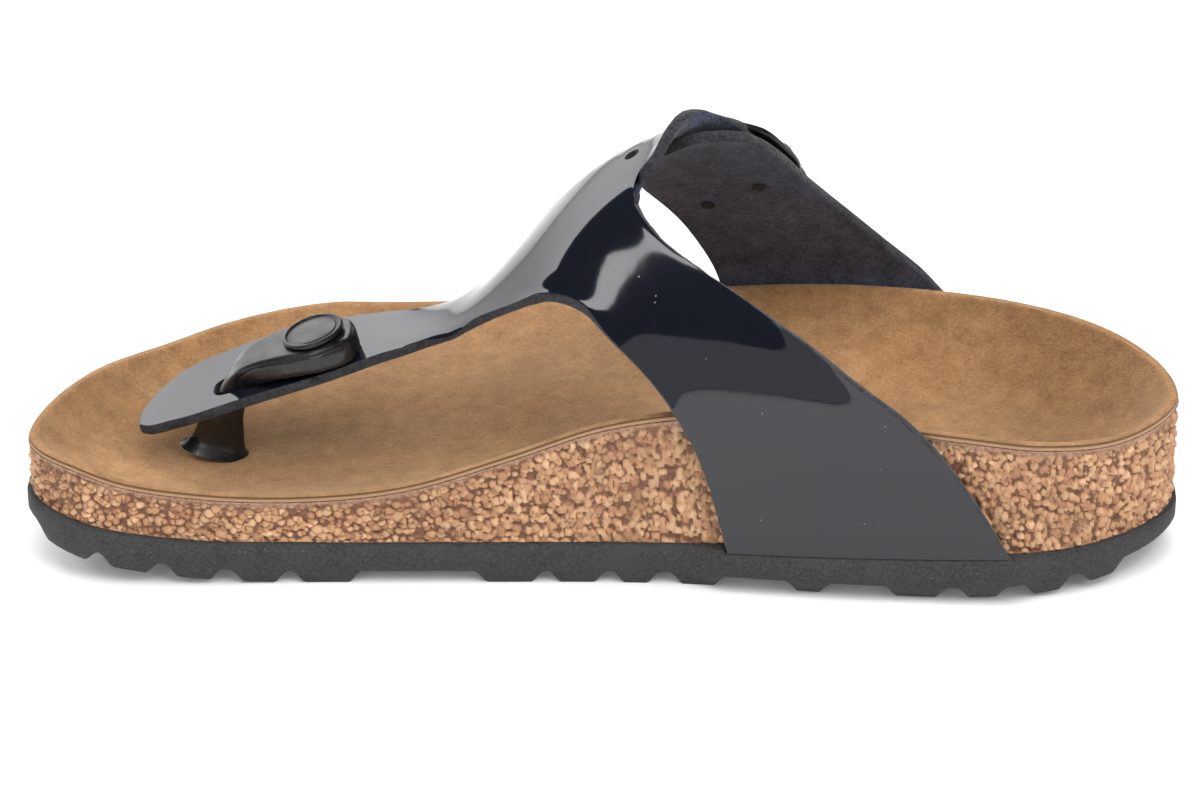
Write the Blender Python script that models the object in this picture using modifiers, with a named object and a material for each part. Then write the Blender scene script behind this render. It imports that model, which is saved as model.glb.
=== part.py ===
"""Toe post sandal for a right foot: lugged foam outsole, contoured cork footbed with a suede lining,
a T-shaped upper held by a moulded toe post, and a buckled strap on the outer side.

The toe points to -X, the heel to +X, the inner (medial) side of the foot to -Y and the floor is Z = 0.
Every size and table is in millimetres and is turned into metres when a mesh is made.
"""

import math

import bmesh
import bpy
import numpy as np

MM = 0.001
MEDIAL, LATERAL = -1, 1

# Driving sizes of the sandal
LENGTH = 259.0
BALL_WIDTH = 91.0
GAP = 0.3
# Y of the foot's axis, which puts the middle of the whole sandal's width at Y = 0
FOOT_AXIS_Y = 0.7

# Round ends of the footbed's outline: where the tip lies across the foot, and how far each side takes to fill out
TOE_TIP_Y = -33.0
HEEL_TIP_Y = -20.0
TOE_ROUND = {MEDIAL: (20.0, 2.0), LATERAL: (84.0, 1.85)}
HEEL_ROUND = {MEDIAL: (38.0, 1.75), LATERAL: (55.0, 1.8)}

# Footbed and outsole
LINING = 1.4
RIM_FLAT = 1.8
RIM_INSET = 0.018
PAD_HEIGHT, PAD_X, PAD_Y, PAD_LENGTH, PAD_WIDTH = 3.0, -22.0, 2.0, 17.0, 17.0
SPINE_START, SPINE_END = -84.0, 94.0
SOLE_LIP = 1.0
TREAD_INSET = 1.0
BAND_HEIGHT = 4.6
LUG_DEPTH = 2.9
LUG_FLANK = 2.7
TREAD_WAVE, TREAD_WAVE_LENGTH = 3.0, 30.0

# Straps
WALL = 2.5
STRAP_CLEARANCE = 0.5
STRAP_FOOT = 9.0
FOOT_POCKET = 0.2
POCKET_MARGIN = 1.0
TO_SOLE = 400.0
TONGUE_LIFT = WALL + 2.0
BELT_HOLE_RADIUS = 1.6


def table(names, *rows):
    """A table as one array for each named column."""
    return dict(zip(names.split(), np.array(rows, float).T))


# Sole: along is the share of the length from the toe, the two edges are shares of the ball width from the
# foot's axis, rims are the tops of the footbed's edges, floor its middle, top and tread the outsole's faces
SOLE = table(
    "along medial lateral rim_medial rim_lateral floor top tread bowl",
    (0.00, -0.511, 0.516, 31.5, 31.5, 22.5, 18.3, 9.3, 6.0),
    (0.04, -0.511, 0.516, 30.2, 29.0, 20.5, 16.0, 6.4, 6.5),
    (0.09, -0.511, 0.516, 26.2, 25.0, 19.0, 13.4, 3.6, 7.5),
    (0.15, -0.508, 0.516, 23.8, 23.5, 18.0, 11.7, 1.5, 8.0),
    (0.24, -0.489, 0.516, 22.5, 22.5, 19.0, 10.6, 0.0, 8.0),
    (0.33, -0.479, 0.516, 25.2, 22.8, 19.0, 10.5, 0.0, 6.5),
    (0.42, -0.469, 0.500, 33.0, 25.0, 21.5, 10.5, 0.0, 4.5),
    (0.50, -0.462, 0.467, 40.8, 29.0, 25.0, 10.6, 0.0, 3.4),
    (0.58, -0.464, 0.423, 44.6, 33.0, 26.5, 10.9, 0.0, 3.0),
    (0.70, -0.491, 0.363, 44.8, 37.5, 25.5, 11.9, 0.0, 3.0),
    (0.80, -0.503, 0.297, 42.0, 40.0, 23.8, 12.0, 0.0, 3.2),
    (0.88, -0.505, 0.269, 39.6, 41.0, 23.0, 12.0, 1.2, 3.4),
    (0.95, -0.505, 0.264, 38.0, 40.3, 23.5, 12.5, 2.9, 3.6),
    (1.00, -0.505, 0.264, 39.0, 39.0, 25.0, 13.0, 4.2, 3.6),
)

# Tread: the middle and foot length of each lug, and the share of the width that it leaves bare on the inner side
LUGS = table(
    "centre length bare",
    (-119.5, 6.0, 0.0),
    (-106.5, 7.5, 0.0),
    (-92.0, 7.0, 0.0),
    (-77.3, 7.0, 0.0),
    (-62.0, 10.0, 0.0),
    (-46.0, 6.0, 0.16),
    (-34.0, 5.0, 0.16),
    (-20.8, 10.0, 0.0),
    (-5.4, 7.5, 0.0),
    (7.8, 5.0, 0.0),
    (22.0, 7.0, 0.0),
    (34.5, 5.0, 0.14),
    (46.8, 5.0, 0.0),
    (58.5, 5.0, 0.14),
    (71.0, 9.0, 0.0),
    (86.0, 6.0, 0.0),
    (100.5, 5.5, 0.0),
    (113.0, 5.0, 0.0),
)

# Last: the line over the top of the foot that the straps are bent over, and how full each side is
LAST = table(
    "x ridge height medial lateral",
    (-106.0, -22.5, 25.4, 0.55, 0.50),
    (-95.0, -18.0, 29.3, 0.55, 0.50),
    (-80.0, -16.5, 36.0, 0.55, 0.50),
    (-64.0, -15.0, 41.3, 0.55, 0.50),
    (-51.0, -15.0, 45.0, 0.55, 0.35),
    (-42.0, -15.0, 47.0, 0.55, 0.24),
    (-34.0, -15.0, 50.0, 0.55, 0.20),
    (-26.0, -15.0, 56.4, 0.58, 0.22),
    (-17.5, -14.0, 64.4, 0.60, 0.24),
    (-12.0, -12.0, 70.5, 0.60, 0.27),
    (-6.0, -10.0, 76.0, 0.54, 0.30),
    (0.0, -8.0, 81.0, 0.47, 0.32),
    (8.0, -5.5, 86.8, 0.38, 0.32),
    (19.0, -3.0, 91.2, 0.32, 0.26),
    (30.0, -1.5, 93.0, 0.30, 0.20),
    (50.0, -1.0, 95.5, 0.30, 0.18),
    (95.0, -1.0, 98.0, 0.30, 0.18),
)

# Upper, toe tab and thong: each rib crosses the strap. X is given over the ridge and at both edges, and the
# reaches are the edges' lengths from the ridge.
THONG = table(
    "ridge medial medial_reach lateral lateral_reach",
    (-105.8, -105.5, 3.0, -105.3, 4.5),
    (-104.6, -102.6, 6.8, -102.4, 9.0),
    (-101.5, -97.8, 9.3, -98.5, 12.3),
    (-95.0, -91.5, 11.0, -94.0, 13.5),
    (-80.0, -79.0, 12.0, -79.5, 12.5),
    (-64.0, -63.5, 11.0, -63.5, 13.5),
    (-51.0, -50.5, 9.5, -50.0, 15.0),
    (-41.0, -40.0, 8.5, -38.0, 17.0),
    (-33.0, -31.5, 7.6, -26.5, 19.0),
    (-26.0, -24.5, 9.8, -14.5, 21.8),
)
RIBS_BETWEEN_ROWS = 2
NECK_COLUMNS = (-1.0, -0.66, -0.33, 0.0, 0.25, 0.5, 0.75, 1.0)

# Upper, wing and tongue: X of the front and back edges. Girth is the share of the way down the last from the
# ridge, less than 0 on the inner side. Between the neck's two shares the front edge is the thong's last rib.
NECK_MEDIAL, NECK_LATERAL = -0.185, 0.255
WING = table(
    "girth front back",
    (-1.000, 29.2, 92.0),
    (-0.910, 27.0, 86.5),
    (-0.820, 24.2, 79.0),
    (-0.740, 20.8, 71.3),
    (-0.660, 16.6, 62.4),
    (-0.590, 11.6, 54.0),
    (-0.510, 5.9, 44.2),
    (-0.430, 0.4, 35.4),
    (-0.325, -6.2, 22.8),
    (-0.240, -12.6, 13.8),
    (-0.185, -19.0, 10.0),
    (-0.115, -20.0, 7.4),
    (-0.055, -20.4, 9.0),
    (0.000, -20.0, 15.6),
    (0.060, -18.0, 20.4),
    (0.120, -14.6, 26.0),
    (0.180, -10.2, 30.5),
    (0.255, -4.0, 35.8),
    (0.316, 5.2, 39.5),
    (0.395, 12.2, 43.2),
    (0.436, 14.8, 44.8),
    (0.482, 17.2, 45.6),
    (0.530, 20.4, 44.4),
    (0.570, 24.6, 41.0),
    (0.595, 30.0, 36.5),
)
WING_COLUMNS = 11

# Buckle strap: its front and rear edges, at lengths down the outer side from the ridge
BUCKLE_STRAP = table(
    "reach front rear",
    (7.0, 19.0, 26.0),
    (8.5, 15.0, 29.5),
    (12.0, 12.0, 33.0),
    (19.0, 10.5, 37.5),
    (32.0, 12.0, 43.5),
    (54.0, 21.5, 59.5),
    (68.0, 27.0, 75.5),
    (TO_SOLE, 32.0, 89.0),
)

# Buckle: the frame is laid on the outer side, with its bar under the tongue and its far end over it
FRAME_X, FRAME_REACH = 24.5, 32.5
FRAME_TURN = math.radians(33)
FRAME_HALF_ACROSS, FRAME_HALF_ALONG = 18.0, 11.3
FRAME_HALF_WIDTH, FRAME_HALF_HEIGHT = 1.7, 0.9
FRAME_SQUARENESS = 0.45
FRAME_LIFT_BAR, FRAME_LIFT_END = 3.9, 8.5
KEEPER_WALL = 1.2
KEEPER_HALF_ACROSS, KEEPER_TOP, KEEPER_BOTTOM = 10.5, 1.0, 17.0
RIVET_HEAD, RIVET_SHAFT, RIVET_HOLE = 2.5, 1.3, 1.6
RIVETS = {"rivet_front": (-7.3, 7.4), "rivet_rear": (8.2, 5.2)}
PRONG_RADIUS = 0.8
PRONG = table(
    "along lift",
    (8.9, 4.3),
    (5.0, 5.8),
    (1.0, 8.2),
    (-4.0, 10.2),
    (-11.0, 10.7),
    (-13.2, 10.3),
)

# Toe post: a path from the footbed up through the tab and back along it, and the half sizes of its section
POST_Y = -18.5
TOE_POST = table(
    "x z half_across half_depth",
    (-90.2, 18.9, 4.6, 7.6),
    (-90.2, 20.0, 3.8, 6.4),
    (-89.7, 22.0, 2.9, 5.0),
    (-89.0, 27.0, 2.6, 4.4),
    (-88.1, 32.0, 2.6, 4.0),
    (-86.6, 36.6, 3.0, 3.3),
    (-83.8, 40.1, 4.2, 2.5),
    (-79.5, 42.0, 5.6, 2.0),
    (-72.5, 44.2, 7.3, 1.9),
    (-65.0, 46.5, 7.8, 1.9),
    (-60.0, 48.0, 6.6, 1.9),
    (-57.4, 48.8, 4.5, 1.8),
    (-56.5, 49.1, 2.0, 1.5),
)
SLOT_X, SLOT_HALF_LENGTH, SLOT_HALF_WIDTH = -87.4, 6.2, 3.9
BUTTON_X, BUTTON_Z = -65.6, 48.7
BUTTON_SLOPE = math.radians(16.5)
BUTTON = table(
    "radius height",
    (6.4, 0.0),
    (6.9, 0.5),
    (6.9, 1.0),
    (6.5, 1.4),
    (5.6, 1.5),
    (5.3, 1.2),
    (4.9, 1.2),
    (4.6, 1.5),
    (2.4, 1.7),
)

# Colours and finishes: red, green, blue, roughness
FINISHES = {
    "foam": (0.035, 0.035, 0.037, 0.75),
    "cork": (0.48, 0.29, 0.16, 0.85),
    "suede": (0.42, 0.27, 0.13, 0.95),
    "patent": (0.008, 0.009, 0.012, 0.12),
    "plastic": (0.015, 0.015, 0.016, 0.4),
    "metal": (0.02, 0.02, 0.022, 0.3),
}


# Curves through tables


def smooth(at, knots, values):
    """Cubic curve through a table, with slopes taken from the neighbouring rows. Values may have several columns."""
    at, values = np.asarray(at, float), np.asarray(values, float)
    slopes = np.gradient(values, knots, axis=0)
    i = np.clip(np.searchsorted(knots, at, side="right") - 1, 0, len(knots) - 2)
    step = knots[i + 1] - knots[i]
    t = np.clip((at - knots[i]) / step, 0.0, 1.0)
    if values.ndim > 1:
        step, t = step[..., None], t[..., None]
    start = (1 + 2 * t) * (1 - t) ** 2 * values[i] + t * (1 - t) ** 2 * step * slopes[i]
    end = t * t * (3 - 2 * t) * values[i + 1] - t * t * (1 - t) * step * slopes[i + 1]
    return start + end


def ease(share):
    """0 below 0, 1 above 1, and a smooth step between."""
    share = np.clip(share, 0.0, 1.0)
    return share * share * (3 - 2 * share)


def sole(x, column):
    """A column of the sole's table at a place along the foot."""
    return smooth((np.asarray(x, float) + LENGTH / 2) / LENGTH, SOLE["along"], SOLE[column])


def last(x, column):
    return smooth(x, LAST["x"], LAST[column])


def filling(distance, length, sharpness):
    """From 0 at a round end to 1 where the outline has its full width: a quarter of a superellipse."""
    share = np.clip(distance / length, 0.0, 1.0)
    return (1 - (1 - share) ** sharpness) ** (1 / sharpness)


def edge(x, side):
    """Y of the footbed's edge on one side of the foot."""
    y = sole(x, "medial" if side == MEDIAL else "lateral") * BALL_WIDTH
    y = TOE_TIP_Y + (y - TOE_TIP_Y) * filling(x + LENGTH / 2, *TOE_ROUND[side])
    return HEEL_TIP_Y + (y - HEEL_TIP_Y) * filling(LENGTH / 2 - x, *HEEL_ROUND[side])


def outset_edge(x, side, outset):
    """The edge moved outwards all round by a distance."""
    return edge(x * LENGTH / (LENGTH + 2 * outset), side) + side * outset


def rim(x, side):
    return sole(x, "rim_medial" if side == MEDIAL else "rim_lateral")


# Meshes and objects


def finish(name):
    """The material of a finish, made once."""
    material = bpy.data.materials.get(name)
    if material is None:
        red, green, blue, roughness = FINISHES[name]
        material = bpy.data.materials.new(name)
        material.use_nodes = True
        shader = material.node_tree.nodes["Principled BSDF"]
        shader.inputs["Base Color"].default_value = (red, green, blue, 1.0)
        shader.inputs["Roughness"].default_value = roughness
        shader.inputs["Metallic"].default_value = 1.0 if name == "metal" else 0.0
    return material


def add_object(name, mesh, finish_name, collection):
    obj = bpy.data.objects.new(name, mesh)
    collection.objects.link(obj)
    mesh.materials.append(finish(finish_name))
    mesh.shade_smooth()
    mesh.set_sharp_from_angle(angle=math.radians(35))
    return obj


def mesh_of(name, points, faces):
    """A mesh from points in millimetres, its doubles merged and its faces turned outwards."""
    shape = bmesh.new()
    corners = [shape.verts.new(point) for point in (np.asarray(points, float) + (0.0, FOOT_AXIS_Y, 0.0)) * MM]
    for face in faces:
        shape.faces.new([corners[i] for i in face])
    bmesh.ops.remove_doubles(shape, verts=shape.verts, dist=1e-6)
    bmesh.ops.dissolve_degenerate(shape, edges=shape.edges, dist=1e-6)
    bmesh.ops.recalc_face_normals(shape, faces=shape.faces)
    mesh = bpy.data.meshes.new(name)
    shape.to_mesh(mesh)
    shape.free()
    return mesh


def grid_faces(rows, columns, wrap=False, first=0):
    """Quads of a grid of points, its last column joined to its first where it wraps."""
    across = columns if wrap else columns - 1
    for row in range(rows - 1):
        for column in range(across):
            a, b = row * columns + column, row * columns + (column + 1) % columns
            yield [first + a, first + b, first + b + columns, first + a + columns]


def split(quads):
    """Two triangles for each quad, always across the same corners, so that layers over one another match."""
    for a, b, c, d in quads:
        yield [a, b, c]
        yield [a, c, d]


def loft(name, rings, finish_name, collection):
    """A closed solid through rings of equal length, with its two end rings filled."""
    count, size = len(rings), len(rings[0])
    faces = list(grid_faces(count, size, wrap=True))
    faces += [list(range(size)), list(range((count - 1) * size, count * size))]
    mesh = mesh_of(name, np.concatenate(rings), faces)
    return add_object(name, mesh, finish_name, collection)


def cutter(obj):
    obj.hide_render = True
    obj.display_type = "WIRE"
    return obj


def cut(obj, tool):
    boolean = obj.modifiers.new("cut " + tool.name, "BOOLEAN")
    boolean.operation = "DIFFERENCE"
    boolean.object = tool
    return obj


# Outsole


def tread_stations():
    """Places along the sole: the four corners of every lug, and closer ones in the round ends."""
    halves = LUGS["length"] / 2
    corners = [LUGS["centre"] + side * reach for side in (-1, 1) for reach in (halves, halves + LUG_FLANK)]
    ends = (LENGTH / 2 + SOLE_LIP) * np.cos(np.radians((2.5, 7.0, 12.0, 17.0, 22.0)))
    stations = np.unique(np.round(np.concatenate([*corners, ends, -ends]), 2))
    return stations[np.diff(stations, prepend=-LENGTH) > 0.4]


def lug_share(x, across):
    """1 on the foot of a lug, 0 between lugs. Across runs from 0 at the inner edge to 1 at the outer one."""
    share = 0.0
    for centre, length, bare in zip(LUGS["centre"], LUGS["length"], LUGS["bare"]):
        if across >= bare:
            share = max(share, 1 - (abs(x - centre) - length / 2) / LUG_FLANK)
    return min(share, 1.0)


def strap_bulge(x, side):
    """How much further the outsole stands out under a strap's foot."""
    start, stop = STRAP_FEET[side]
    return WALL * ease((x - start + 10) / 10) * ease((stop + 10 - x) / 10)


def outsole_ring(x):
    """The outsole's section at x: tread from the inner to the outer edge, then back over the top."""
    top = sole(x, "top") - GAP
    tread = max(sole(x, "tread"), 0.0)
    taper = ease((LENGTH / 2 - abs(x)) / 25)
    ring = []
    low, high = (outset_edge(x, side, -TREAD_INSET) for side in (MEDIAL, LATERAL))
    middle = (low + high) / 2
    low, high = min(low, middle), max(high, middle)
    for across in np.linspace(0, 1, 9):
        y = low + (high - low) * across
        wave = TREAD_WAVE * taper * math.sin(2 * math.pi * y / TREAD_WAVE_LENGTH) * (1 - (2 * across - 1) ** 4)
        ring.append((x + wave, y, tread + LUG_DEPTH * (1 - lug_share(x, across))))
    for side, heights in ((LATERAL, (0, 1)), (MEDIAL, (1, 0))):
        y = outset_edge(x, side, SOLE_LIP) + side * strap_bulge(x, side)
        for height in heights:
            ring.append((x, y, top if height else tread + BAND_HEIGHT))
    return np.array(ring)


def pocket(name, side, collection):
    """What is cut from the outsole's edge for a strap's foot."""
    start, stop = STRAP_FEET[side]
    rings = []
    for x in np.linspace(start - POCKET_MARGIN, stop + POCKET_MARGIN, 13):
        inner, outer = edge(x, side) + side * FOOT_POCKET, edge(x, side) + side * 12
        low, high = STRAP_FOOT - GAP, STRAP_FOOT + 20
        rings.append(np.array([(x, inner, low), (x, outer, low), (x, outer, high), (x, inner, high)]))
    return cutter(loft(name, rings, "foam", collection))


def add_outsole(parts, cutters):
    outsole = loft("outsole", [outsole_ring(x) for x in tread_stations()], "foam", parts)
    for side, name in ((MEDIAL, "medial strap pocket"), (LATERAL, "lateral strap pocket")):
        cut(outsole, pocket(name, side, cutters))
    return outsole


# Footbed

FOOTBED_RINGS = (0.0, 0.4, 0.66, 0.82, 0.91, 0.965, 1.0)
OUTLINE_STEPS = 36


def outline():
    """Points round the footbed: toe tip, outer side, heel tip, inner side. Each has its side and rim height."""
    shares = (1 - np.cos(np.linspace(0, math.pi, OUTLINE_STEPS + 1))) / 2
    x = LENGTH * (shares - 0.5)
    lateral = np.stack([x, edge(x, LATERAL), rim(x, LATERAL)], axis=1)
    medial = np.stack([x, edge(x, MEDIAL), rim(x, MEDIAL)], axis=1)[-2:0:-1]
    return np.concatenate([lateral, medial])


def spine(x):
    """The middle line that the footbed's rings close on."""
    x = np.clip(x, SPINE_START, SPINE_END)
    return np.stack([x, (edge(x, MEDIAL) + edge(x, LATERAL)) / 2], axis=-1)


def footbed_ring(share, drop):
    """One ring of the footbed's upper face, a drop below it: 0 is its spine and 1 its edge."""
    border = outline()
    middle = spine(border[:, 0])
    plan = middle + (border[:, :2] - middle) * share
    width = np.linalg.norm(border[:, :2] - middle, axis=1)
    rise = np.minimum(1.0, share * width / (width - RIM_FLAT)) ** sole(plan[:, 0], "bowl")
    floor = sole(plan[:, 0], "floor")
    spread = ((plan[:, 0] - PAD_X) / PAD_LENGTH) ** 2 + ((plan[:, 1] - PAD_Y) / PAD_WIDTH) ** 2
    z = floor + (border[:, 2] - floor) * rise + PAD_HEIGHT * np.exp(-spread) * (1 - rise)
    return np.column_stack([plan, z - drop])


def footbed_surface(drop):
    """The rings of the footbed's face. Below it they also move in from the rim, so that a layer keeps its thickness."""
    rings = []
    for share in FOOTBED_RINGS:
        inset = RIM_INSET * share**4 if drop and share < 1.0 else 0.0
        rings.append(footbed_ring(share - inset, drop))
    return rings


def add_lining(parts):
    """The suede face of the footbed: a shell of even thickness, open underneath."""
    rings = footbed_surface(0.0) + footbed_surface(LINING)[::-1]
    size = len(rings[0])
    mesh = mesh_of("footbed_lining", np.concatenate(rings), split(grid_faces(len(rings), size, wrap=True)))
    return add_object("footbed_lining", mesh, "suede", parts)


def add_cork(parts):
    """The cork block between the lining and the outsole."""
    border = outline()
    lower = []
    for share in (0.0, 0.5, 1.0):
        middle = spine(border[:, 0])
        plan = middle + (border[:, :2] - middle) * share
        lower.append(np.column_stack([plan, sole(plan[:, 0], "top")]))
    rings = lower + footbed_surface(LINING + GAP)[::-1]
    mesh = mesh_of("footbed_cork", np.concatenate(rings), split(grid_faces(len(rings), len(border), wrap=True)))
    return add_object("footbed_cork", mesh, "cork", parts)


# Last and straps


def last_section(x):
    """The last's section at x as points (y, z), with their lengths from the ridge: less than 0 on the inner side."""
    top = np.array([last(x, "ridge"), last(x, "height")])
    t = np.linspace(0, 1, 25)[:, None]
    halves, lengths = {}, {}
    for side in (MEDIAL, LATERAL):
        wall = edge(x, side) + side * STRAP_CLEARANCE
        low = np.array([wall, min(rim(x, side) + 1.0, top[1] - 3.0)])
        full = last(x, "medial" if side == MEDIAL else "lateral")
        out, up = (wall - top[0]) * full, (top[1] - low[1]) * full
        turn = top + (out, 0), low + (0, up)
        arch = (1 - t) ** 3 * top + 3 * t * (1 - t) ** 2 * turn[0] + 3 * t * t * (1 - t) * turn[1] + t**3 * low
        points = np.concatenate([arch, [(wall, STRAP_FOOT)]])
        halves[side] = points
        lengths[side] = np.concatenate([[0], np.cumsum(np.linalg.norm(np.diff(points, axis=0), axis=1))])
    points = np.concatenate([halves[MEDIAL][:0:-1], halves[LATERAL]])
    return points, np.concatenate([-lengths[MEDIAL][:0:-1], lengths[LATERAL]])


def on_last(x, reach, lift=0.0):
    """A point at a length from the ridge along the last's section, lifted outwards, and the outward direction there."""
    points, lengths = last_section(x)
    reach = float(np.clip(reach, lengths[0], lengths[-1]))
    step = 1.5
    place, before, after = (
        np.array([np.interp(reach + move, lengths, points[:, axis]) for axis in (0, 1)])
        for move in (0.0, -step, step)
    )
    along = (after - before) / np.linalg.norm(after - before)
    out = np.array([-along[1], along[0]])
    place = place + out * lift
    return np.array([x, *place]), np.array([0.0, *out])


def girth(x, side):
    lengths = last_section(x)[1]
    return lengths[-1] if side == LATERAL else -lengths[0]


def tongue_lift(x, reach):
    """How far the upper is raised to pass over the buckle strap, and again over the buckle's bar."""
    along = (x - FRAME_X) * math.sin(FRAME_TURN) + (reach - FRAME_REACH) * math.cos(FRAME_TURN)
    bar_top = FRAME_LIFT_BAR + FRAME_HALF_HEIGHT + KEEPER_WALL + 4 * GAP
    over_bar = (bar_top - TONGUE_LIFT) * math.exp(-(((along - FRAME_HALF_ALONG) / 9) ** 4))
    to_strap = (WALL + 0.7 - TONGUE_LIFT) * ease((along - KEEPER_BOTTOM - 2) / 8)
    lift = TONGUE_LIFT + (over_bar + to_strap) * ease(reach / 15)
    return lift * ease((x + 14) / 16) * ease((reach + 9) / 16)


def wing_row(girth_share):
    """Points along the wing or tongue from its front edge to its back edge, at a share of the way down the last."""
    front, back = (float(smooth(girth_share, WING["girth"], WING[name])) for name in ("front", "back"))
    side = MEDIAL if girth_share < 0 else LATERAL
    row = []
    for x in np.linspace(front, back, WING_COLUMNS):
        reach = side * TO_SOLE if abs(girth_share) == 1.0 else abs(girth_share) * girth(x, side) * side
        row.append(on_last(x, reach, tongue_lift(x, reach))[0])
    return row


def thong_row(rib):
    """Points across the thong at one of its ribs."""
    row = []
    for column in NECK_COLUMNS:
        name = "medial" if column < 0 else "lateral"
        x = rib["ridge"] + (rib[name] - rib["ridge"]) * column**2
        row.append(on_last(x, column * rib[name + "_reach"])[0])
    return row


def upper_surface():
    """Inner face of the upper: one grid across the thong, and one from the wing's foot to the tongue's end."""
    columns = np.array(NECK_COLUMNS)
    neck = np.where(columns < 0, -columns * NECK_MEDIAL, columns * NECK_LATERAL)
    inner = WING["girth"][WING["girth"] < NECK_MEDIAL]
    outer = WING["girth"][WING["girth"] > NECK_LATERAL]
    wing = np.array([wing_row(share) for share in np.concatenate([inner, neck, outer])])
    knots = np.arange(len(THONG["ridge"]), dtype=float)
    thong = []
    for at in np.linspace(0, knots[-1], (len(knots) - 1) * RIBS_BETWEEN_ROWS + 1):
        thong.append(thong_row({name: float(smooth(at, knots, THONG[name])) for name in THONG}))
    thong.append(wing[len(inner):len(inner) + len(neck), 0])
    thong = np.array(thong)
    faces = list(grid_faces(*thong.shape[:2]))
    faces += [face[::-1] for face in grid_faces(*wing.shape[:2], first=thong.shape[0] * thong.shape[1])]
    return np.concatenate([thong.reshape(-1, 3), wing.reshape(-1, 3)]), faces


def shell(name, points, faces, finish_name, collection, thickness=WALL):
    """A strap: its inner face, given its thickness outwards."""
    mesh = mesh_of(name, points, faces)
    obj = add_object(name, mesh, finish_name, collection)
    wall = obj.modifiers.new("wall", "SOLIDIFY")
    wall.thickness = thickness * MM
    wall.offset = 1.0
    wall.use_even_offset = False
    return obj


def superellipse(count, half_across, half_depth):
    """A ring of a rounded rectangle's shape, as two columns of distances."""
    angle = np.linspace(0, 2 * math.pi, count, endpoint=False) + math.pi / count
    wave = np.stack([np.cos(angle), np.sin(angle)], axis=1)
    return np.sign(wave) * np.abs(wave) ** 0.7 * (half_across, half_depth)


def slot(name, collection):
    """What is cut from the toe tab for the post."""
    ring = superellipse(16, SLOT_HALF_LENGTH, SLOT_HALF_WIDTH) + (SLOT_X, POST_Y)
    rings = [np.column_stack([ring, np.full(len(ring), z)]) for z in (24.0, 44.0)]
    return cutter(loft(name, rings, "patent", collection))


def belt_hole(name, x, reach, radius, collection):
    """What is cut from a strap for a round hole."""
    centre, out = on_last(x, reach)
    return cutter(turned(name, ((radius, -4.0), (radius, 14.0)), centre, out, "patent", collection, 12))


def frame_point(across, along, lift):
    """A place on the buckle, across and along the tongue from the frame's middle, as a point on the outer side."""
    x = FRAME_X + across * math.cos(FRAME_TURN) + along * math.sin(FRAME_TURN)
    return on_last(x, FRAME_REACH - across * math.sin(FRAME_TURN) + along * math.cos(FRAME_TURN), lift)


def turned(name, profile, centre, axis, finish_name, collection, count=20):
    """A solid turned about an axis: the profile's rows are radius and height."""
    side = np.cross(axis, (1.0, 0.0, 0.0) if abs(axis[0]) < 0.9 else (0.0, 1.0, 0.0))
    side = side / np.linalg.norm(side)
    other = np.cross(axis, side)
    angle = np.linspace(0, 2 * math.pi, count, endpoint=False)[:, None]
    rings = [centre + radius * (np.cos(angle) * side + np.sin(angle) * other) + height * np.asarray(axis)
             for radius, height in profile]
    return loft(name, rings, finish_name, collection)


def prong_rings(radius, longer=0.0):
    """The prong's rings, or those of a longer and thicker one that clears it."""
    places, lifts = PRONG["along"].copy(), PRONG["lift"]
    places[0] += longer
    places[-1] -= longer
    path = np.array([frame_point(0.0, place, lift)[0] for place, lift in zip(places, lifts)])
    along = np.gradient(path, axis=0)
    along = along / np.linalg.norm(along, axis=1)[:, None]
    side = np.cross(along, frame_point(0.0, 0.0, 0.0)[1])
    side = side / np.linalg.norm(side, axis=1)[:, None]
    up = np.cross(side, along)
    ring = superellipse(8, radius, radius)
    return [point + ring @ np.array([s, u]) for point, s, u in zip(path, side, up)]


def add_upper(parts, cutters):
    upper = shell("upper", *upper_surface(), "patent", parts)
    cut(upper, slot("post slot", cutters))
    cut(upper, belt_hole("first belt hole", 6.3, 0.0, BELT_HOLE_RADIUS, cutters))
    cut(upper, belt_hole("last belt hole", 32.5, 46.0, BELT_HOLE_RADIUS, cutters))
    cut(upper, cutter(loft("prong slot", prong_rings(PRONG_RADIUS + 0.6, 1.0), "patent", cutters)))
    return upper


def buckle_strap_surface():
    reaches = np.array([min(reach, girth(60.0, LATERAL)) for reach in BUCKLE_STRAP["reach"]])
    at = np.concatenate([reaches[:4], np.linspace(reaches[4], reaches[-1], 9)])
    rows = []
    for i, reach in enumerate(at):
        front, rear = (float(smooth(reach, reaches, BUCKLE_STRAP[name])) for name in ("front", "rear"))
        foot = i == len(at) - 1
        rows.append([on_last(x, TO_SOLE if foot else reach * girth(x, LATERAL) / reaches[-1])[0]
                     for x in np.linspace(front, rear, 8)])
    return np.array(rows)[:, ::-1]


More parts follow.
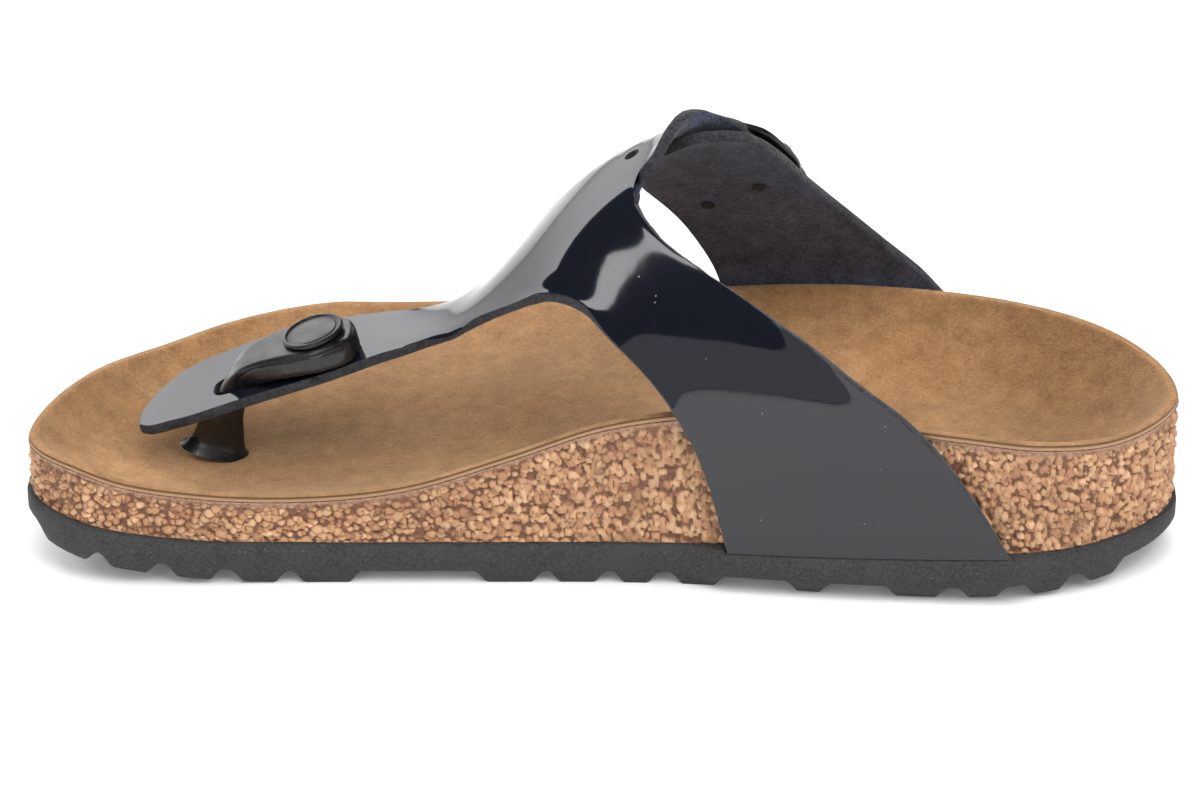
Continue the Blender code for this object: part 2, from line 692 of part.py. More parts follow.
def add_buckle(parts, cutters):
    """The outer strap with its keeper, rivets, frame and prong."""
    surface = buckle_strap_surface()
    strap = shell("buckle_strap", surface.reshape(-1, 3), grid_faces(*surface.shape[:2]), "patent", parts)
    rows = []
    for along in np.linspace(KEEPER_TOP, KEEPER_BOTTOM, 15):
        rise = (FRAME_LIFT_BAR + FRAME_HALF_HEIGHT - WALL) * ease(2.2 - abs(along - FRAME_HALF_ALONG) / 2.4)
        rows.append([frame_point(across, along, WALL + GAP + rise)[0]
                     for across in np.linspace(-KEEPER_HALF_ACROSS, KEEPER_HALF_ACROSS, 7)[::-1]])
    rows = np.array(rows)
    faces = grid_faces(*rows.shape[:2])
    keeper = shell("buckle_keeper", rows.reshape(-1, 3), faces, "patent", parts, KEEPER_WALL)
    cut(keeper, cutter(loft("prong notch", prong_rings(PRONG_RADIUS + 0.6, 2.6), "patent", cutters)))
    for name, (across, along) in RIVETS.items():
        centre, out = frame_point(across, along, 0.0)
        hole = cutter(turned(name + " hole", ((RIVET_HOLE, -3), (RIVET_HOLE, 4.4)), centre, out, "metal", cutters, 12))
        cut(strap, hole)
        cut(keeper, hole)
        profile = ((RIVET_HEAD * 0.7, -1.2), (RIVET_HEAD, -0.7), (RIVET_HEAD, -GAP), (RIVET_SHAFT, -GAP),
                   (RIVET_SHAFT, WALL + KEEPER_WALL))
        turned(name, profile, centre, out, "metal", parts, 12)
    add_frame(parts)
    loft("buckle_prong", prong_rings(PRONG_RADIUS), "metal", parts)


def add_frame(parts):
    """The buckle's frame: a flat section carried round a rounded rectangle, bent as the strap is."""
    section = superellipse(8, FRAME_HALF_WIDTH, FRAME_HALF_HEIGHT)
    rings = []
    for angle in np.linspace(0, 2 * math.pi, 32, endpoint=False):
        turn = np.array([math.cos(angle), math.sin(angle)])
        corner = np.sign(turn) * np.abs(turn) ** FRAME_SQUARENESS
        across, along = corner * (FRAME_HALF_ACROSS, FRAME_HALF_ALONG)
        far = (FRAME_HALF_ALONG - along) / (2 * FRAME_HALF_ALONG)
        lift = FRAME_LIFT_BAR + (FRAME_LIFT_END - FRAME_LIFT_BAR) * far
        rings.append([frame_point(across + turn[0] * width, along + turn[1] * width, lift + height)[0]
                      for width, height in section])
    rings.append(rings[0])
    mesh = mesh_of("buckle_frame", np.concatenate(rings), grid_faces(len(rings), len(section), wrap=True))
    return add_object("buckle_frame", mesh, "metal", parts)


def add_toe_post(parts):
    path = np.column_stack([TOE_POST["x"], TOE_POST["z"]])
    along = np.gradient(path, axis=0)
    along = along / np.linalg.norm(along, axis=1)[:, None]
    rings = []
    for (x, z), (run, climb), half_across, half_depth in zip(
        path, along, TOE_POST["half_across"], TOE_POST["half_depth"]
    ):
        ring = superellipse(16, half_across, half_depth)
        rings.append(np.column_stack([x - climb * ring[:, 1], POST_Y + ring[:, 0], z + run * ring[:, 1]]))
    loft("toe_post", rings, "plastic", parts)
    axis = np.array([-math.sin(BUTTON_SLOPE), 0.0, math.cos(BUTTON_SLOPE)])
    profile = list(zip(BUTTON["radius"], BUTTON["height"]))
    turned("toe_button", profile, np.array([BUTTON_X, POST_Y, BUTTON_Z]), axis, "plastic", parts, 24)


STRAP_FEET = {
    MEDIAL: (WING["front"][0], WING["back"][0]),
    LATERAL: (BUCKLE_STRAP["front"][-1], BUCKLE_STRAP["rear"][-1]),
}


def main():
    for obj in list(bpy.data.objects):
        bpy.data.objects.remove(obj)
    parts = bpy.data.collections.new("toe post sandal")
    cutters = bpy.data.collections.new("cutters")
    for collection in (parts, cutters):
        bpy.context.scene.collection.children.link(collection)
    add_outsole(parts, cutters)
    add_cork(parts)
    add_lining(parts)
    add_upper(parts, cutters)
    add_buckle(parts, cutters)
    add_toe_post(parts)


main()
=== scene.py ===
import math

import bmesh
import bpy
import numpy as np
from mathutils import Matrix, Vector


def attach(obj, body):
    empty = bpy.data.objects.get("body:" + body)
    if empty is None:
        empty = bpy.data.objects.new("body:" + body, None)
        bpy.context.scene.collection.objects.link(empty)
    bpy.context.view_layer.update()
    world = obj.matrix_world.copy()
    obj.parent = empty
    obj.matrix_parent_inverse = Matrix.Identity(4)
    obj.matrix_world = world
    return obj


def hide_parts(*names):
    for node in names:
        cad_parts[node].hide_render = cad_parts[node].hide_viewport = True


# Toe post sandal for a right foot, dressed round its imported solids.
# Toe to -X, heel to +X, inner side of the foot to -Y. Tables and sizes are in millimetres.

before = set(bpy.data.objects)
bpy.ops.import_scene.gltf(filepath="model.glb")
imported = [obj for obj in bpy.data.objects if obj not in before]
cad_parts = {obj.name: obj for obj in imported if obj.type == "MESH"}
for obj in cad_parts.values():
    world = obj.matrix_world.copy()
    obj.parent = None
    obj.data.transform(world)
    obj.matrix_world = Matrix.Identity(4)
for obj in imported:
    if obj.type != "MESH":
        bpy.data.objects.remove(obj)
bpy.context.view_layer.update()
print("frame loaded with", len(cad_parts), "nodes")

mm = 0.001
medial, lateral = -1, 1

foot = dict(
    length=259.0,
    ballWidth=91.0,
    axisY=0.7,  # Y of the foot's axis in the frame
    toeTipY=-33.0,
    heelTipY=-20.0,
    toeRound={medial: (20.0, 2.0), lateral: (66.0, 1.6)},  # length of each side's rounding, and its power
    heelRound={medial: (38.0, 1.75), lateral: (62.0, 2.0)},
)


def table(names, *rows):
    # one array for each named column
    return dict(zip(names.split(), np.array(rows, float).T))


soleRows = table(
    "along medial lateral rimMedial rimLateral floor top tread bowl",
    (0.00, -0.511, 0.516, 31.5, 31.5, 22.5, 18.3, 9.3, 6.0),
    (0.04, -0.511, 0.516, 30.2, 29.0, 20.5, 16.0, 6.4, 6.5),
    (0.09, -0.511, 0.516, 26.2, 25.0, 19.0, 13.4, 3.6, 7.5),
    (0.15, -0.508, 0.516, 23.8, 23.5, 18.0, 11.7, 1.5, 8.0),
    (0.24, -0.489, 0.516, 22.5, 22.5, 19.0, 10.6, 0.0, 8.0),
    (0.33, -0.479, 0.516, 25.2, 22.8, 19.0, 10.5, 0.0, 6.5),
    (0.42, -0.469, 0.500, 33.0, 25.0, 21.5, 10.5, 0.0, 4.5),
    (0.50, -0.462, 0.459, 40.8, 29.0, 25.0, 10.6, 0.0, 3.4),
    (0.58, -0.464, 0.412, 44.6, 33.0, 26.5, 10.9, 0.0, 3.0),
    (0.70, -0.491, 0.352, 44.8, 37.5, 25.5, 11.9, 0.0, 3.0),
    (0.80, -0.503, 0.280, 42.0, 40.0, 23.8, 12.0, 0.0, 3.2),
    (0.88, -0.505, 0.247, 39.6, 41.0, 23.0, 12.0, 1.2, 3.4),
    (0.95, -0.505, 0.247, 38.0, 40.3, 23.5, 12.5, 2.9, 3.6),
    (1.00, -0.505, 0.247, 39.0, 39.0, 25.0, 13.0, 4.2, 3.6),
)


def through(at, knots, values):
    # cubic curve through a table's rows, each slope taken from the rows beside it
    at = np.asarray(at, float)
    slopes = np.gradient(values, knots)
    i = np.clip(np.searchsorted(knots, at, side="right") - 1, 0, len(knots) - 2)
    step = knots[i + 1] - knots[i]
    t = np.clip((at - knots[i]) / step, 0.0, 1.0)
    start = (1 + 2 * t) * (1 - t) ** 2 * values[i] + t * (1 - t) ** 2 * step * slopes[i]
    end = t * t * (3 - 2 * t) * values[i + 1] - t * t * (1 - t) * step * slopes[i + 1]
    return start + end


def ease(share):
    # from 0 to 1 with level ends: three squares less two cubes
    share = np.clip(share, 0.0, 1.0)
    return share * share * (3 - 2 * share)


def soleAt(x, column):
    # a column of the sole's table, at a place along the foot
    along = (np.asarray(x, float) + foot["length"] / 2) / foot["length"]
    return through(along, soleRows["along"], soleRows[column])


def filled(distance, length, power):
    # quarter of a superellipse: 0 at a round tip, 1 where the outline has its full width
    share = np.clip(distance / length, 0.0, 1.0)
    return (1 - (1 - share) ** power) ** (1 / power)


def edgeY(x, side):
    # the side's own line, drawn in to the toe's and the heel's tip
    half = foot["length"] / 2
    y = soleAt(x, "medial" if side == medial else "lateral") * foot["ballWidth"]
    y = foot["toeTipY"] + (y - foot["toeTipY"]) * filled(x + half, *foot["toeRound"][side])
    return foot["heelTipY"] + (y - foot["heelTipY"]) * filled(half - x, *foot["heelRound"][side])


def outsetEdge(x, side, outset):
    # the side's line on an outline that stands out all round
    return edgeY(x * foot["length"] / (foot["length"] + 2 * outset), side) + side * outset


def rimZ(x, side):
    # height of the footbed's rim
    return soleAt(x, "rimMedial" if side == medial else "rimLateral")


# Chance and noise, always the same


def chance(cells, seed):
    # a number from 0 to 1 for each whole-numbered cell: the fraction left by a large sine
    turn = cells @ np.array([12.9898, 78.233, 37.719]) + seed * 19.19
    return np.mod(np.sin(turn) * 43758.5453, 1.0)


def lumps(points, size, seed=0):
    # smooth noise from -1 to 1: chance at the corners of cubes, eased between them
    places = points / size
    low = np.floor(places)
    share = ease(places - low)
    total = np.zeros(len(points))
    for corner in np.ndindex(2, 2, 2):
        weight = np.prod(np.where(corner, share, 1 - share), axis=1)
        total += weight * chance(low + corner, seed)
    return total * 2 - 1


# Meshes


def ringQuads(rows, columns, wrap=True, first=0):
    # corner numbers of a grid's quads, row by row
    row = np.arange(rows - 1)[:, None] * columns
    column = np.arange(columns if wrap else columns - 1)[None, :]
    a = row + column
    b = row + (column + 1) % columns
    return np.stack([a, b, b + columns, a + columns], axis=-1).reshape(-1, 4) + first


def meshFrom(name, points, quads, slots=None, values=None):
    # points in millimetres, all set at once; slots are material numbers and values are named point attributes
    mesh = bpy.data.meshes.new(name)
    place = (np.asarray(points, float) + (0.0, foot["axisY"], 0.0)) * mm
    mesh.vertices.add(len(place))
    mesh.vertices.foreach_set("co", place.astype(np.float32).ravel())
    mesh.loops.add(quads.size)
    mesh.loops.foreach_set("vertex_index", quads.astype(np.int32).ravel())
    mesh.polygons.add(len(quads))
    mesh.polygons.foreach_set("loop_start", np.arange(0, quads.size, quads.shape[1], dtype=np.int32))
    if slots is not None:
        mesh.polygons.foreach_set("material_index", np.asarray(slots, np.int32))
    for title, numbers in (values or {}).items():
        mesh.attributes.new(title, "FLOAT", "POINT").data.foreach_set("value", numbers.astype(np.float32))
    mesh.update(calc_edges=True)
    mesh.validate()
    return mesh


def weld(mesh):
    # joins the points that meet at seams and poles, then turns the faces outwards
    shape = bmesh.new()
    shape.from_mesh(mesh)
    bmesh.ops.remove_doubles(shape, verts=shape.verts, dist=2e-6)
    bmesh.ops.dissolve_degenerate(shape, edges=shape.edges, dist=1e-6)
    bmesh.ops.recalc_face_normals(shape, faces=shape.faces)
    shape.to_mesh(mesh)
    shape.free()


def addPiece(name, mesh, materials, node, sharpAngle=40):
    # a finished piece on the root body, in place of its plain solid
    for material in materials:
        mesh.materials.append(material)
    mesh.shade_smooth()
    mesh.set_sharp_from_angle(angle=math.radians(sharpAngle))
    piece = bpy.data.objects.new(name, mesh)
    bpy.context.scene.collection.objects.link(piece)
    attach(piece, "root")
    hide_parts(node)
    return piece


def closedMesh(name, rings, values=None):
    # a mesh through rings of equal length, joined where they meet
    mesh = meshFrom(name, rings.reshape(-1, 3), ringQuads(*rings.shape[:2]), values=values)
    weld(mesh)
    return mesh


def capped(rings):
    # both end rings are drawn together to their middles
    rings = np.asarray(rings, float)
    first, last = (np.broadcast_to(ring.mean(axis=0), ring.shape)[None] for ring in (rings[0], rings[-1]))
    return np.concatenate([first, rings, last])


def addLoft(name, rings, materials, node, sharpAngle=40):
    return addPiece(name, closedMesh(name, capped(rings)), materials, node, sharpAngle)


def addCutter(name, rings, material):
    # a loft that is only there to be cut from a piece
    mesh = closedMesh(name, capped(rings))
    mesh.materials.append(material)
    tool = bpy.data.objects.new(name, mesh)
    bpy.context.scene.collection.objects.link(tool)
    tool.hide_render = True
    return tool


def cutFrom(piece, cutters):
    # holes made by Boolean cutters, put into the mesh at once so that no cutter stays
    for tool in cutters:
        cut = piece.modifiers.new("cut", "BOOLEAN")
        cut.operation = "DIFFERENCE"
        cut.object = tool
    bpy.context.view_layer.update()
    evaluated = piece.evaluated_get(bpy.context.evaluated_depsgraph_get())
    mesh = bpy.data.meshes.new_from_object(evaluated)
    piece.modifiers.clear()
    piece.data = mesh
    mesh.set_sharp_from_angle(angle=math.radians(40))
    for tool in cutters:
        bpy.data.objects.remove(tool)


# Materials


class Nodes:
    # short ways to add and link shader nodes in one tree
    def __init__(self, tree):
        self.tree = tree

    def add(self, kind, inputs=None, **settings):
        node = self.tree.nodes.new(kind)
        for name, value in settings.items():
            setattr(node, name, value)
        for name, value in (inputs or {}).items():
            if isinstance(value, bpy.types.NodeSocket):
                self.tree.links.new(value, node.inputs[name])
            else:
                node.inputs[name].default_value = value
        return node

    def noise(self, place, scale, detail=4.0, roughness=0.6):
        made = self.add("ShaderNodeTexNoise", {"Vector": place, "Scale": scale, "Detail": detail})
        made.inputs["Roughness"].default_value = roughness
        return made.outputs["Fac"]

    def span(self, value, low, high, toLow=0.0, toHigh=1.0):
        inputs = {"Value": value, "From Min": low, "From Max": high, "To Min": toLow, "To Max": toHigh}
        return self.add("ShaderNodeMapRange", inputs).outputs["Result"]

    def math(self, operation, first, second):
        made = self.add("ShaderNodeMath", {0: first, 1: second}, operation=operation)
        return made.outputs[0]

    def mix(self, share, first, second, blend="MIX"):
        made = self.add("ShaderNodeMix", {0: share}, data_type="RGBA", blend_type=blend)
        for socket, value in ((made.inputs[6], first), (made.inputs[7], second)):
            if isinstance(value, bpy.types.NodeSocket):
                self.tree.links.new(value, socket)
            else:
                socket.default_value = (*value, 1.0)
        return made.outputs[2]

    def bump(self, height, strength, distance):
        inputs = {"Height": height, "Strength": strength, "Distance": distance}
        return self.add("ShaderNodeBump", inputs).outputs["Normal"]

    def into(self, shader, title, value):
        self.tree.links.new(value, shader.inputs[title])

    def attribute(self, name):
        return self.add("ShaderNodeAttribute", attribute_name=name).outputs["Fac"]


def newMaterial(name, sockets):
    # a material with its Principled shader, the nodes' helper and the piece's own Object coordinates
    material = bpy.data.materials.new(name)
    material.use_nodes = True
    nodes = Nodes(material.node_tree)
    shader = material.node_tree.nodes["Principled BSDF"]
    for title, value in sockets.items():
        shader.inputs[title].default_value = value
    place = nodes.add("ShaderNodeTexCoord").outputs["Object"]
    return material, nodes, shader, place


def newGroup(name, inputs, outputs):
    # a shader node group with named sockets: inputs are (name, kind, value), outputs are (name, kind)
    tree = bpy.data.node_groups.new(name, "ShaderNodeTree")
    for title, kind, value in inputs:
        socket = tree.interface.new_socket(title, in_out="INPUT", socket_type=kind)
        if value is not None:
            socket.default_value = value
    for title, kind in outputs:
        tree.interface.new_socket(title, in_out="OUTPUT", socket_type=kind)
    nodes = Nodes(tree)
    return tree, nodes, nodes.add("NodeGroupInput"), nodes.add("NodeGroupOutput")


def makeNapGroup():
    # short fibres: fine noise over coarser tufts, as a tone from 0 to 1 and a height
    tree, nodes, given, made = newGroup(
        "fibreNap",
        [("Place", "NodeSocketVector", None), ("Scale", "NodeSocketFloat", 900.0)],
        [("Tone", "NodeSocketFloat"), ("Height", "NodeSocketFloat")],
    )
    fine = nodes.noise(given.outputs["Place"], given.outputs["Scale"], 3.0, 0.7)
    wide = nodes.noise(given.outputs["Place"], nodes.math("MULTIPLY", given.outputs["Scale"], 0.16), 4.0, 0.6)
    both = nodes.math("ADD", nodes.math("MULTIPLY", fine, 0.6), nodes.math("MULTIPLY", wide, 0.4))
    tree.links.new(nodes.span(both, 0.33, 0.67), made.inputs["Tone"])
    tree.links.new(both, made.inputs["Height"])
    return tree


def makeSpeckGroup():
    # scattered specks: round cells, of which only those with a high number of their own are kept
    tree, nodes, given, made = newGroup(
        "specks",
        [
            ("Place", "NodeSocketVector", None),
            ("Scale", "NodeSocketFloat", 400.0),
            ("Size", "NodeSocketFloat", 0.2),
            ("Share", "NodeSocketFloat", 0.1),
        ],
        [("Mask", "NodeSocketFloat")],
    )
    inputs = {"Vector": given.outputs["Place"], "Scale": given.outputs["Scale"]}
    cells = nodes.add("ShaderNodeTexVoronoi", inputs)
    near = nodes.math("LESS_THAN", cells.outputs["Distance"], given.outputs["Size"])
    number = nodes.add("ShaderNodeSeparateColor", {"Color": cells.outputs["Color"]}).outputs["Red"]
    kept = nodes.math("LESS_THAN", number, given.outputs["Share"])
    tree.links.new(nodes.math("MULTIPLY", near, kept), made.inputs["Mask"])
    return tree


napGroup = makeNapGroup()
speckGroup = makeSpeckGroup()


def nap(nodes, place, scale):
    # the fibres' tone and height
    made = nodes.add("ShaderNodeGroup", node_tree=napGroup)
    nodes.tree.links.new(place, made.inputs["Place"])
    made.inputs["Scale"].default_value = scale
    return made.outputs["Tone"], made.outputs["Height"]


def specks(nodes, place, scale, size, share):
    # a mask of specks; size is a share of their spacing, and share is how many of them are kept
    made = nodes.add("ShaderNodeGroup", node_tree=speckGroup)
    nodes.tree.links.new(place, made.inputs["Place"])
    for title, value in (("Scale", scale), ("Size", size), ("Share", share)):
        made.inputs[title].default_value = value
    return made.outputs["Mask"]


suedeLook = dict(
    bright=(0.475, 0.268, 0.125),
    middle=(0.385, 0.212, 0.093),
    hollow=(0.245, 0.133, 0.059),
    edge=(0.10, 0.05, 0.022),
    fleece=(0.50, 0.31, 0.19),
    napScale=1500.0,
    shader={
        "Roughness": 0.93,
        "Sheen Weight": 0.25,
        "Sheen Roughness": 0.6,
        "Sheen Tint": (1.0, 0.82, 0.6, 1.0),
        "Specular IOR Level": 0.15,
    },
)


def makeSuede():
    # clouds of two tones, with painted shade in the hollows of the heel and ball, darker between the fibres,
    # pale and dark along the cut edge
    look = suedeLook
    material, nodes, shader, place = newMaterial("suede", look["shader"])
    cloud = nodes.span(nodes.noise(place, 38.0, 4.0, 0.55), 0.35, 0.66)
    colour = nodes.mix(cloud, look["middle"], look["bright"])
    # painted shade: darker in the hollows of the heel and ball, broken up in patches
    patchy = nodes.span(nodes.noise(place, 60.0), 0.3, 0.6, 0.65, 1.0)
    hollow = nodes.math("MULTIPLY", nodes.attribute("hollow"), patchy)
    colour = nodes.mix(hollow, colour, look["hollow"])
    rubbed = nodes.span(nodes.noise(place, 210.0, 5.0, 0.65), 0.5, 0.72, 0.0, 0.5)
    colour = nodes.mix(rubbed, colour, look["hollow"])
    tone, height = nap(nodes, place, look["napScale"])
    colour = nodes.mix(nodes.span(tone, 0.0, 1.0, 0.0, 0.62), colour, look["hollow"], "MULTIPLY")
    fleece = nodes.math("MULTIPLY", nodes.attribute("fleece"), nodes.span(tone, 0.0, 0.6, 0.6, 1.0))
    colour = nodes.mix(fleece, colour, look["fleece"])
    colour = nodes.mix(nodes.attribute("cutEdge"), colour, look["edge"])
    nodes.into(shader, "Base Color", colour)
    nodes.into(shader, "Normal", nodes.bump(height, 0.6, 0.0008))
    return material


corkLook = dict(
    matrix=(0.25, 0.108, 0.059),
    dark=(0.10, 0.043, 0.025),
    brown=(0.42, 0.21, 0.111),
    gold=(0.62, 0.353, 0.186),
    pale=(0.79, 0.51, 0.30),
    fleece=(0.56, 0.365, 0.245),
    shader={"Roughness": 0.52, "Specular IOR Level": 0.35},
)


def makeCork():
    # each grain from brown through gold to pale by its own number, fading at its edge into the dark binder
    # with painted shade between grains, fibres under the rim
    look = corkLook
    material, nodes, shader, place = newMaterial("cork", look["shader"])
    tone, dome, below = (nodes.attribute(name) for name in ("grainTone", "grainDome", "belowRim"))
    grain = nodes.mix(nodes.span(tone, 0.0, 0.45), look["brown"], look["gold"])
    grain = nodes.mix(nodes.span(tone, 0.55, 1.0), grain, look["pale"])
    fine = nodes.noise(place, 900.0, 4.0, 0.65)
    matrix = nodes.mix(nodes.span(fine, 0.35, 0.65), look["dark"], look["matrix"])
    # partly the binder's own colour and partly painted shade: each grain darkens from its dome towards its
    # edge and where grains meet
    colour = nodes.mix(nodes.span(dome, 0.02, 0.4), matrix, grain)
    colour = nodes.mix(nodes.span(fine, 0.4, 0.75, 0.0, 0.35), colour, look["brown"])
    blotch = nodes.span(nodes.noise(place, 75.0, 3.0), 0.45, 0.7, 0.0, 0.4)
    colour = nodes.mix(blotch, colour, look["matrix"])
    ragged = nodes.math("ADD", below, nodes.span(nodes.noise(place, 420.0, 4.0), 0.2, 0.8, -0.9, 0.9))
    fleece = nodes.mix(nodes.span(nodes.noise(place, 1400.0), 0.3, 0.7), look["matrix"], look["fleece"])
    colour = nodes.mix(nodes.span(ragged, 1.6, 1.0), colour, fleece)
    nodes.into(shader, "Base Color", colour)
    nodes.into(shader, "Normal", nodes.bump(fine, 0.35, 0.0005))
    return material


foamLook = dict(
    dark=(0.025, 0.025, 0.0255),
    light=(0.063, 0.062, 0.063),
    fleck=(0.16, 0.16, 0.155),
    shader={"Roughness": 0.72, "Specular IOR Level": 0.3},
)


def makeFoam():
    # fine grain between two greys, with pale flecks
    look = foamLook
    material, nodes, shader, place = newMaterial("foam", look["shader"])
    grain = nodes.noise(place, 1700.0, 4.0, 0.7)
    colour = nodes.mix(nodes.span(grain, 0.35, 0.65), look["dark"], look["light"])
    colour = nodes.mix(nodes.span(nodes.noise(place, 90.0), 0.45, 0.75, 0.0, 0.5), colour, look["light"])
    fleck = nodes.math("MULTIPLY", specks(nodes, place, 700.0, 0.16, 0.12), 0.5)
    colour = nodes.mix(fleck, colour, look["fleck"])
    nodes.into(shader, "Base Color", colour)
    nodes.into(shader, "Normal", nodes.bump(grain, 0.3, 0.0004))
    return material


patentLook = dict(
    colour=(0.006, 0.007, 0.0125),
    dust=(0.25, 0.25, 0.25),
    wave=0.012,
    shader={"Roughness": 0.06, "Specular IOR Level": 0.64},
)


def makePatent():
    # nearly a mirror: a little haze, a faint wave and grains of dust
    look = patentLook
    gloss = look["shader"]["Roughness"]
    material, nodes, shader, place = newMaterial("patent", look["shader"])
    dust = nodes.math("MULTIPLY", specks(nodes, place, 260.0, 0.05, 0.35), 0.6)
    haze = nodes.span(nodes.noise(place, 45.0, 3.0), 0.4, 0.7, gloss, gloss * 1.8)
    wave = nodes.noise(place, 140.0, 2.0)
    nodes.into(shader, "Base Color", nodes.mix(dust, look["colour"], look["dust"]))
    nodes.into(shader, "Roughness", nodes.math("ADD", haze, nodes.math("MULTIPLY", dust, 0.4)))
    nodes.into(shader, "Normal", nodes.bump(wave, look["wave"], 0.002))
    return material


feltLook = dict(
    dark=(0.0135, 0.0142, 0.0185),
    light=(0.1, 0.11, 0.15),
    lint=(0.3, 0.27, 0.24),
    faceTint=(1.0, 1.05, 1.17),
    cutTint=(0.62, 0.57, 0.48),
    faceLint=0.006,
    cutLint=0.03,
    shader={"Roughness": 0.95, "Sheen Weight": 0.2, "Sheen Roughness": 0.5, "Specular IOR Level": 0.1},
)


def makeFelt(name, tint, lintShare):
    # dark fibres with scattered lint
    look = feltLook
    material, nodes, shader, place = newMaterial(name, look["shader"])
    tone, height = nap(nodes, place, 1300.0)
    dark, light = ([channel * part for channel, part in zip(look[end], tint)] for end in ("dark", "light"))
    colour = nodes.mix(tone, dark, light)
    colour = nodes.mix(specks(nodes, place, 330.0, 0.1, lintShare), colour, look["lint"])
    nodes.into(shader, "Base Color", colour)
    nodes.into(shader, "Normal", nodes.bump(height, 0.6, 0.0008))
    return material


plasticLook = dict(dark=(0.005, 0.005, 0.0055), light=(0.012, 0.012, 0.013), roughness=0.3)


def makePlastic():
    # satin black with a fine grain
    look = plasticLook
    material, nodes, shader, place = newMaterial("plastic", {"Roughness": look["roughness"]})
    grain = nodes.noise(place, 900.0, 3.0, 0.6)
    colour = nodes.mix(nodes.span(grain, 0.4, 0.6), look["dark"], look["light"])
    nodes.into(shader, "Base Color", colour)
    low, high = look["roughness"] * 0.8, look["roughness"] * 1.35
    rough = nodes.span(nodes.noise(place, 240.0), 0.35, 0.65, low, high)
    nodes.into(shader, "Roughness", rough)
    nodes.into(shader, "Normal", nodes.bump(grain, 0.08, 0.0003))
    return material


metalLook = dict(
    dark=(0.05, 0.05, 0.053),
    worn=(0.16, 0.16, 0.165),
    matt=(0.014, 0.0135, 0.015),
    metallic=0.85,
    roughness=0.32,
    mattRoughness=0.8,
)


def makeMetal(name, dark, worn, metallic, roughness):
    # black paint, rubbed in patches
    material, nodes, shader, place = newMaterial(name, {"Roughness": roughness, "Metallic": metallic})
    rubbed = nodes.span(nodes.noise(place, 300.0, 5.0), 0.56, 0.75, 0.0, 0.6)
    nodes.into(shader, "Base Color", nodes.mix(rubbed, dark, worn))
    rough = nodes.span(nodes.noise(place, 500.0), 0.3, 0.7, roughness * 0.7, min(1.0, roughness * 1.4))
    nodes.into(shader, "Roughness", rough)
    return material


suede, cork, foam, patent = makeSuede(), makeCork(), makeFoam(), makePatent()
felt = makeFelt("felt", feltLook["faceTint"], feltLook["faceLint"])
cutFelt = makeFelt("cutFelt", feltLook["cutTint"], feltLook["cutLint"])
plastic = makePlastic()
metal = makeMetal(
    "blackMetal",
    metalLook["dark"],
    metalLook["worn"],
    metalLook["metallic"],
    metalLook["roughness"],
)
rivetMetal = makeMetal("mattBlack", metalLook["matt"], metalLook["dark"], 0.0, metalLook["mattRoughness"])
print("materials made:", len(bpy.data.materials))

# Footbed

footbed = dict(
    lining=1.4,
    gap=0.3,
    rimFlat=1.8,
    padHeight=3.0,
    padX=-22.0,
    padY=2.0,
    padLength=17.0,
    padWidth=17.0,
    spineStart=-84.0,
    spineEnd=94.0,
)


def outline(steps):
    # points round the footbed: toe tip, outer side, heel tip, inner side. Both sides share their stations,
    # which are even along the mean of the two sides' lengths.
    x = -foot["length"] / 2 * np.cos(np.linspace(0, math.pi, 4001))
    way = np.zeros(len(x))
    for side in (medial, lateral):
        way[1:] += np.cumsum(np.hypot(np.diff(x), np.diff(edgeY(x, side))))
    x = np.interp(np.linspace(0, way[-1], steps + 1), way, x)
    outer = np.stack([x, edgeY(x, lateral), rimZ(x, lateral)], axis=1)
    inner = np.stack([x, edgeY(x, medial), rimZ(x, medial)], axis=1)[-2:0:-1]
    return np.concatenate([outer, inner])


def spine(x):
    # the line midway between the two sides, short of the tips
    x = np.clip(x, footbed["spineStart"], footbed["spineEnd"])
    return np.stack([x, (edgeY(x, medial) + edgeY(x, lateral)) / 2], axis=-1)


def footbedRing(border, share, inset, drop):
    # from the spine out to a share of the way to the border, less an inset; the height rises from the floor
    # to the rim as a power of the share, with a low pad behind the toes, and ends a drop below that
    middle = spine(border[:, 0])
    width = np.linalg.norm(border[:, :2] - middle, axis=1)
    share = np.clip(share - inset / width, 0.0, 1.0)
    plan = middle + (border[:, :2] - middle) * share[:, None]
    rise = np.minimum(1.0, share * width / (width - footbed["rimFlat"])) ** soleAt(plan[:, 0], "bowl")
    floor = soleAt(plan[:, 0], "floor")
    away = ((plan[:, 0] - footbed["padX"]) / footbed["padLength"]) ** 2
    away = away + ((plan[:, 1] - footbed["padY"]) / footbed["padWidth"]) ** 2
    z = floor + (border[:, 2] - floor) * rise + footbed["padHeight"] * np.exp(-away) * (1 - rise)
    return np.column_stack([plan, z - drop]), rise


bowlShares = np.sqrt(np.linspace(0, 1, 46))[:-1]  # closer together towards the rim, where the bowl is steep
liningEdge = table(
    "inset drop",
    (0.5, 0.0),
    (0.15, 0.04),
    (0.02, 0.16),
    (0.0, 0.35),
    (0.0, 0.6),
    (0.0, 0.95),
    (0.05, 1.35),
)
# painted shade in the hollows: how dark the heel seat and the ball are painted, and how much less on the
# heel's walls
liningHollowShade = dict(heel=0.9, heelX=68.0, heelLength=34.0, heelWall=0.8, ball=0.6, ballX=-62.0, ballSpread=24.0)


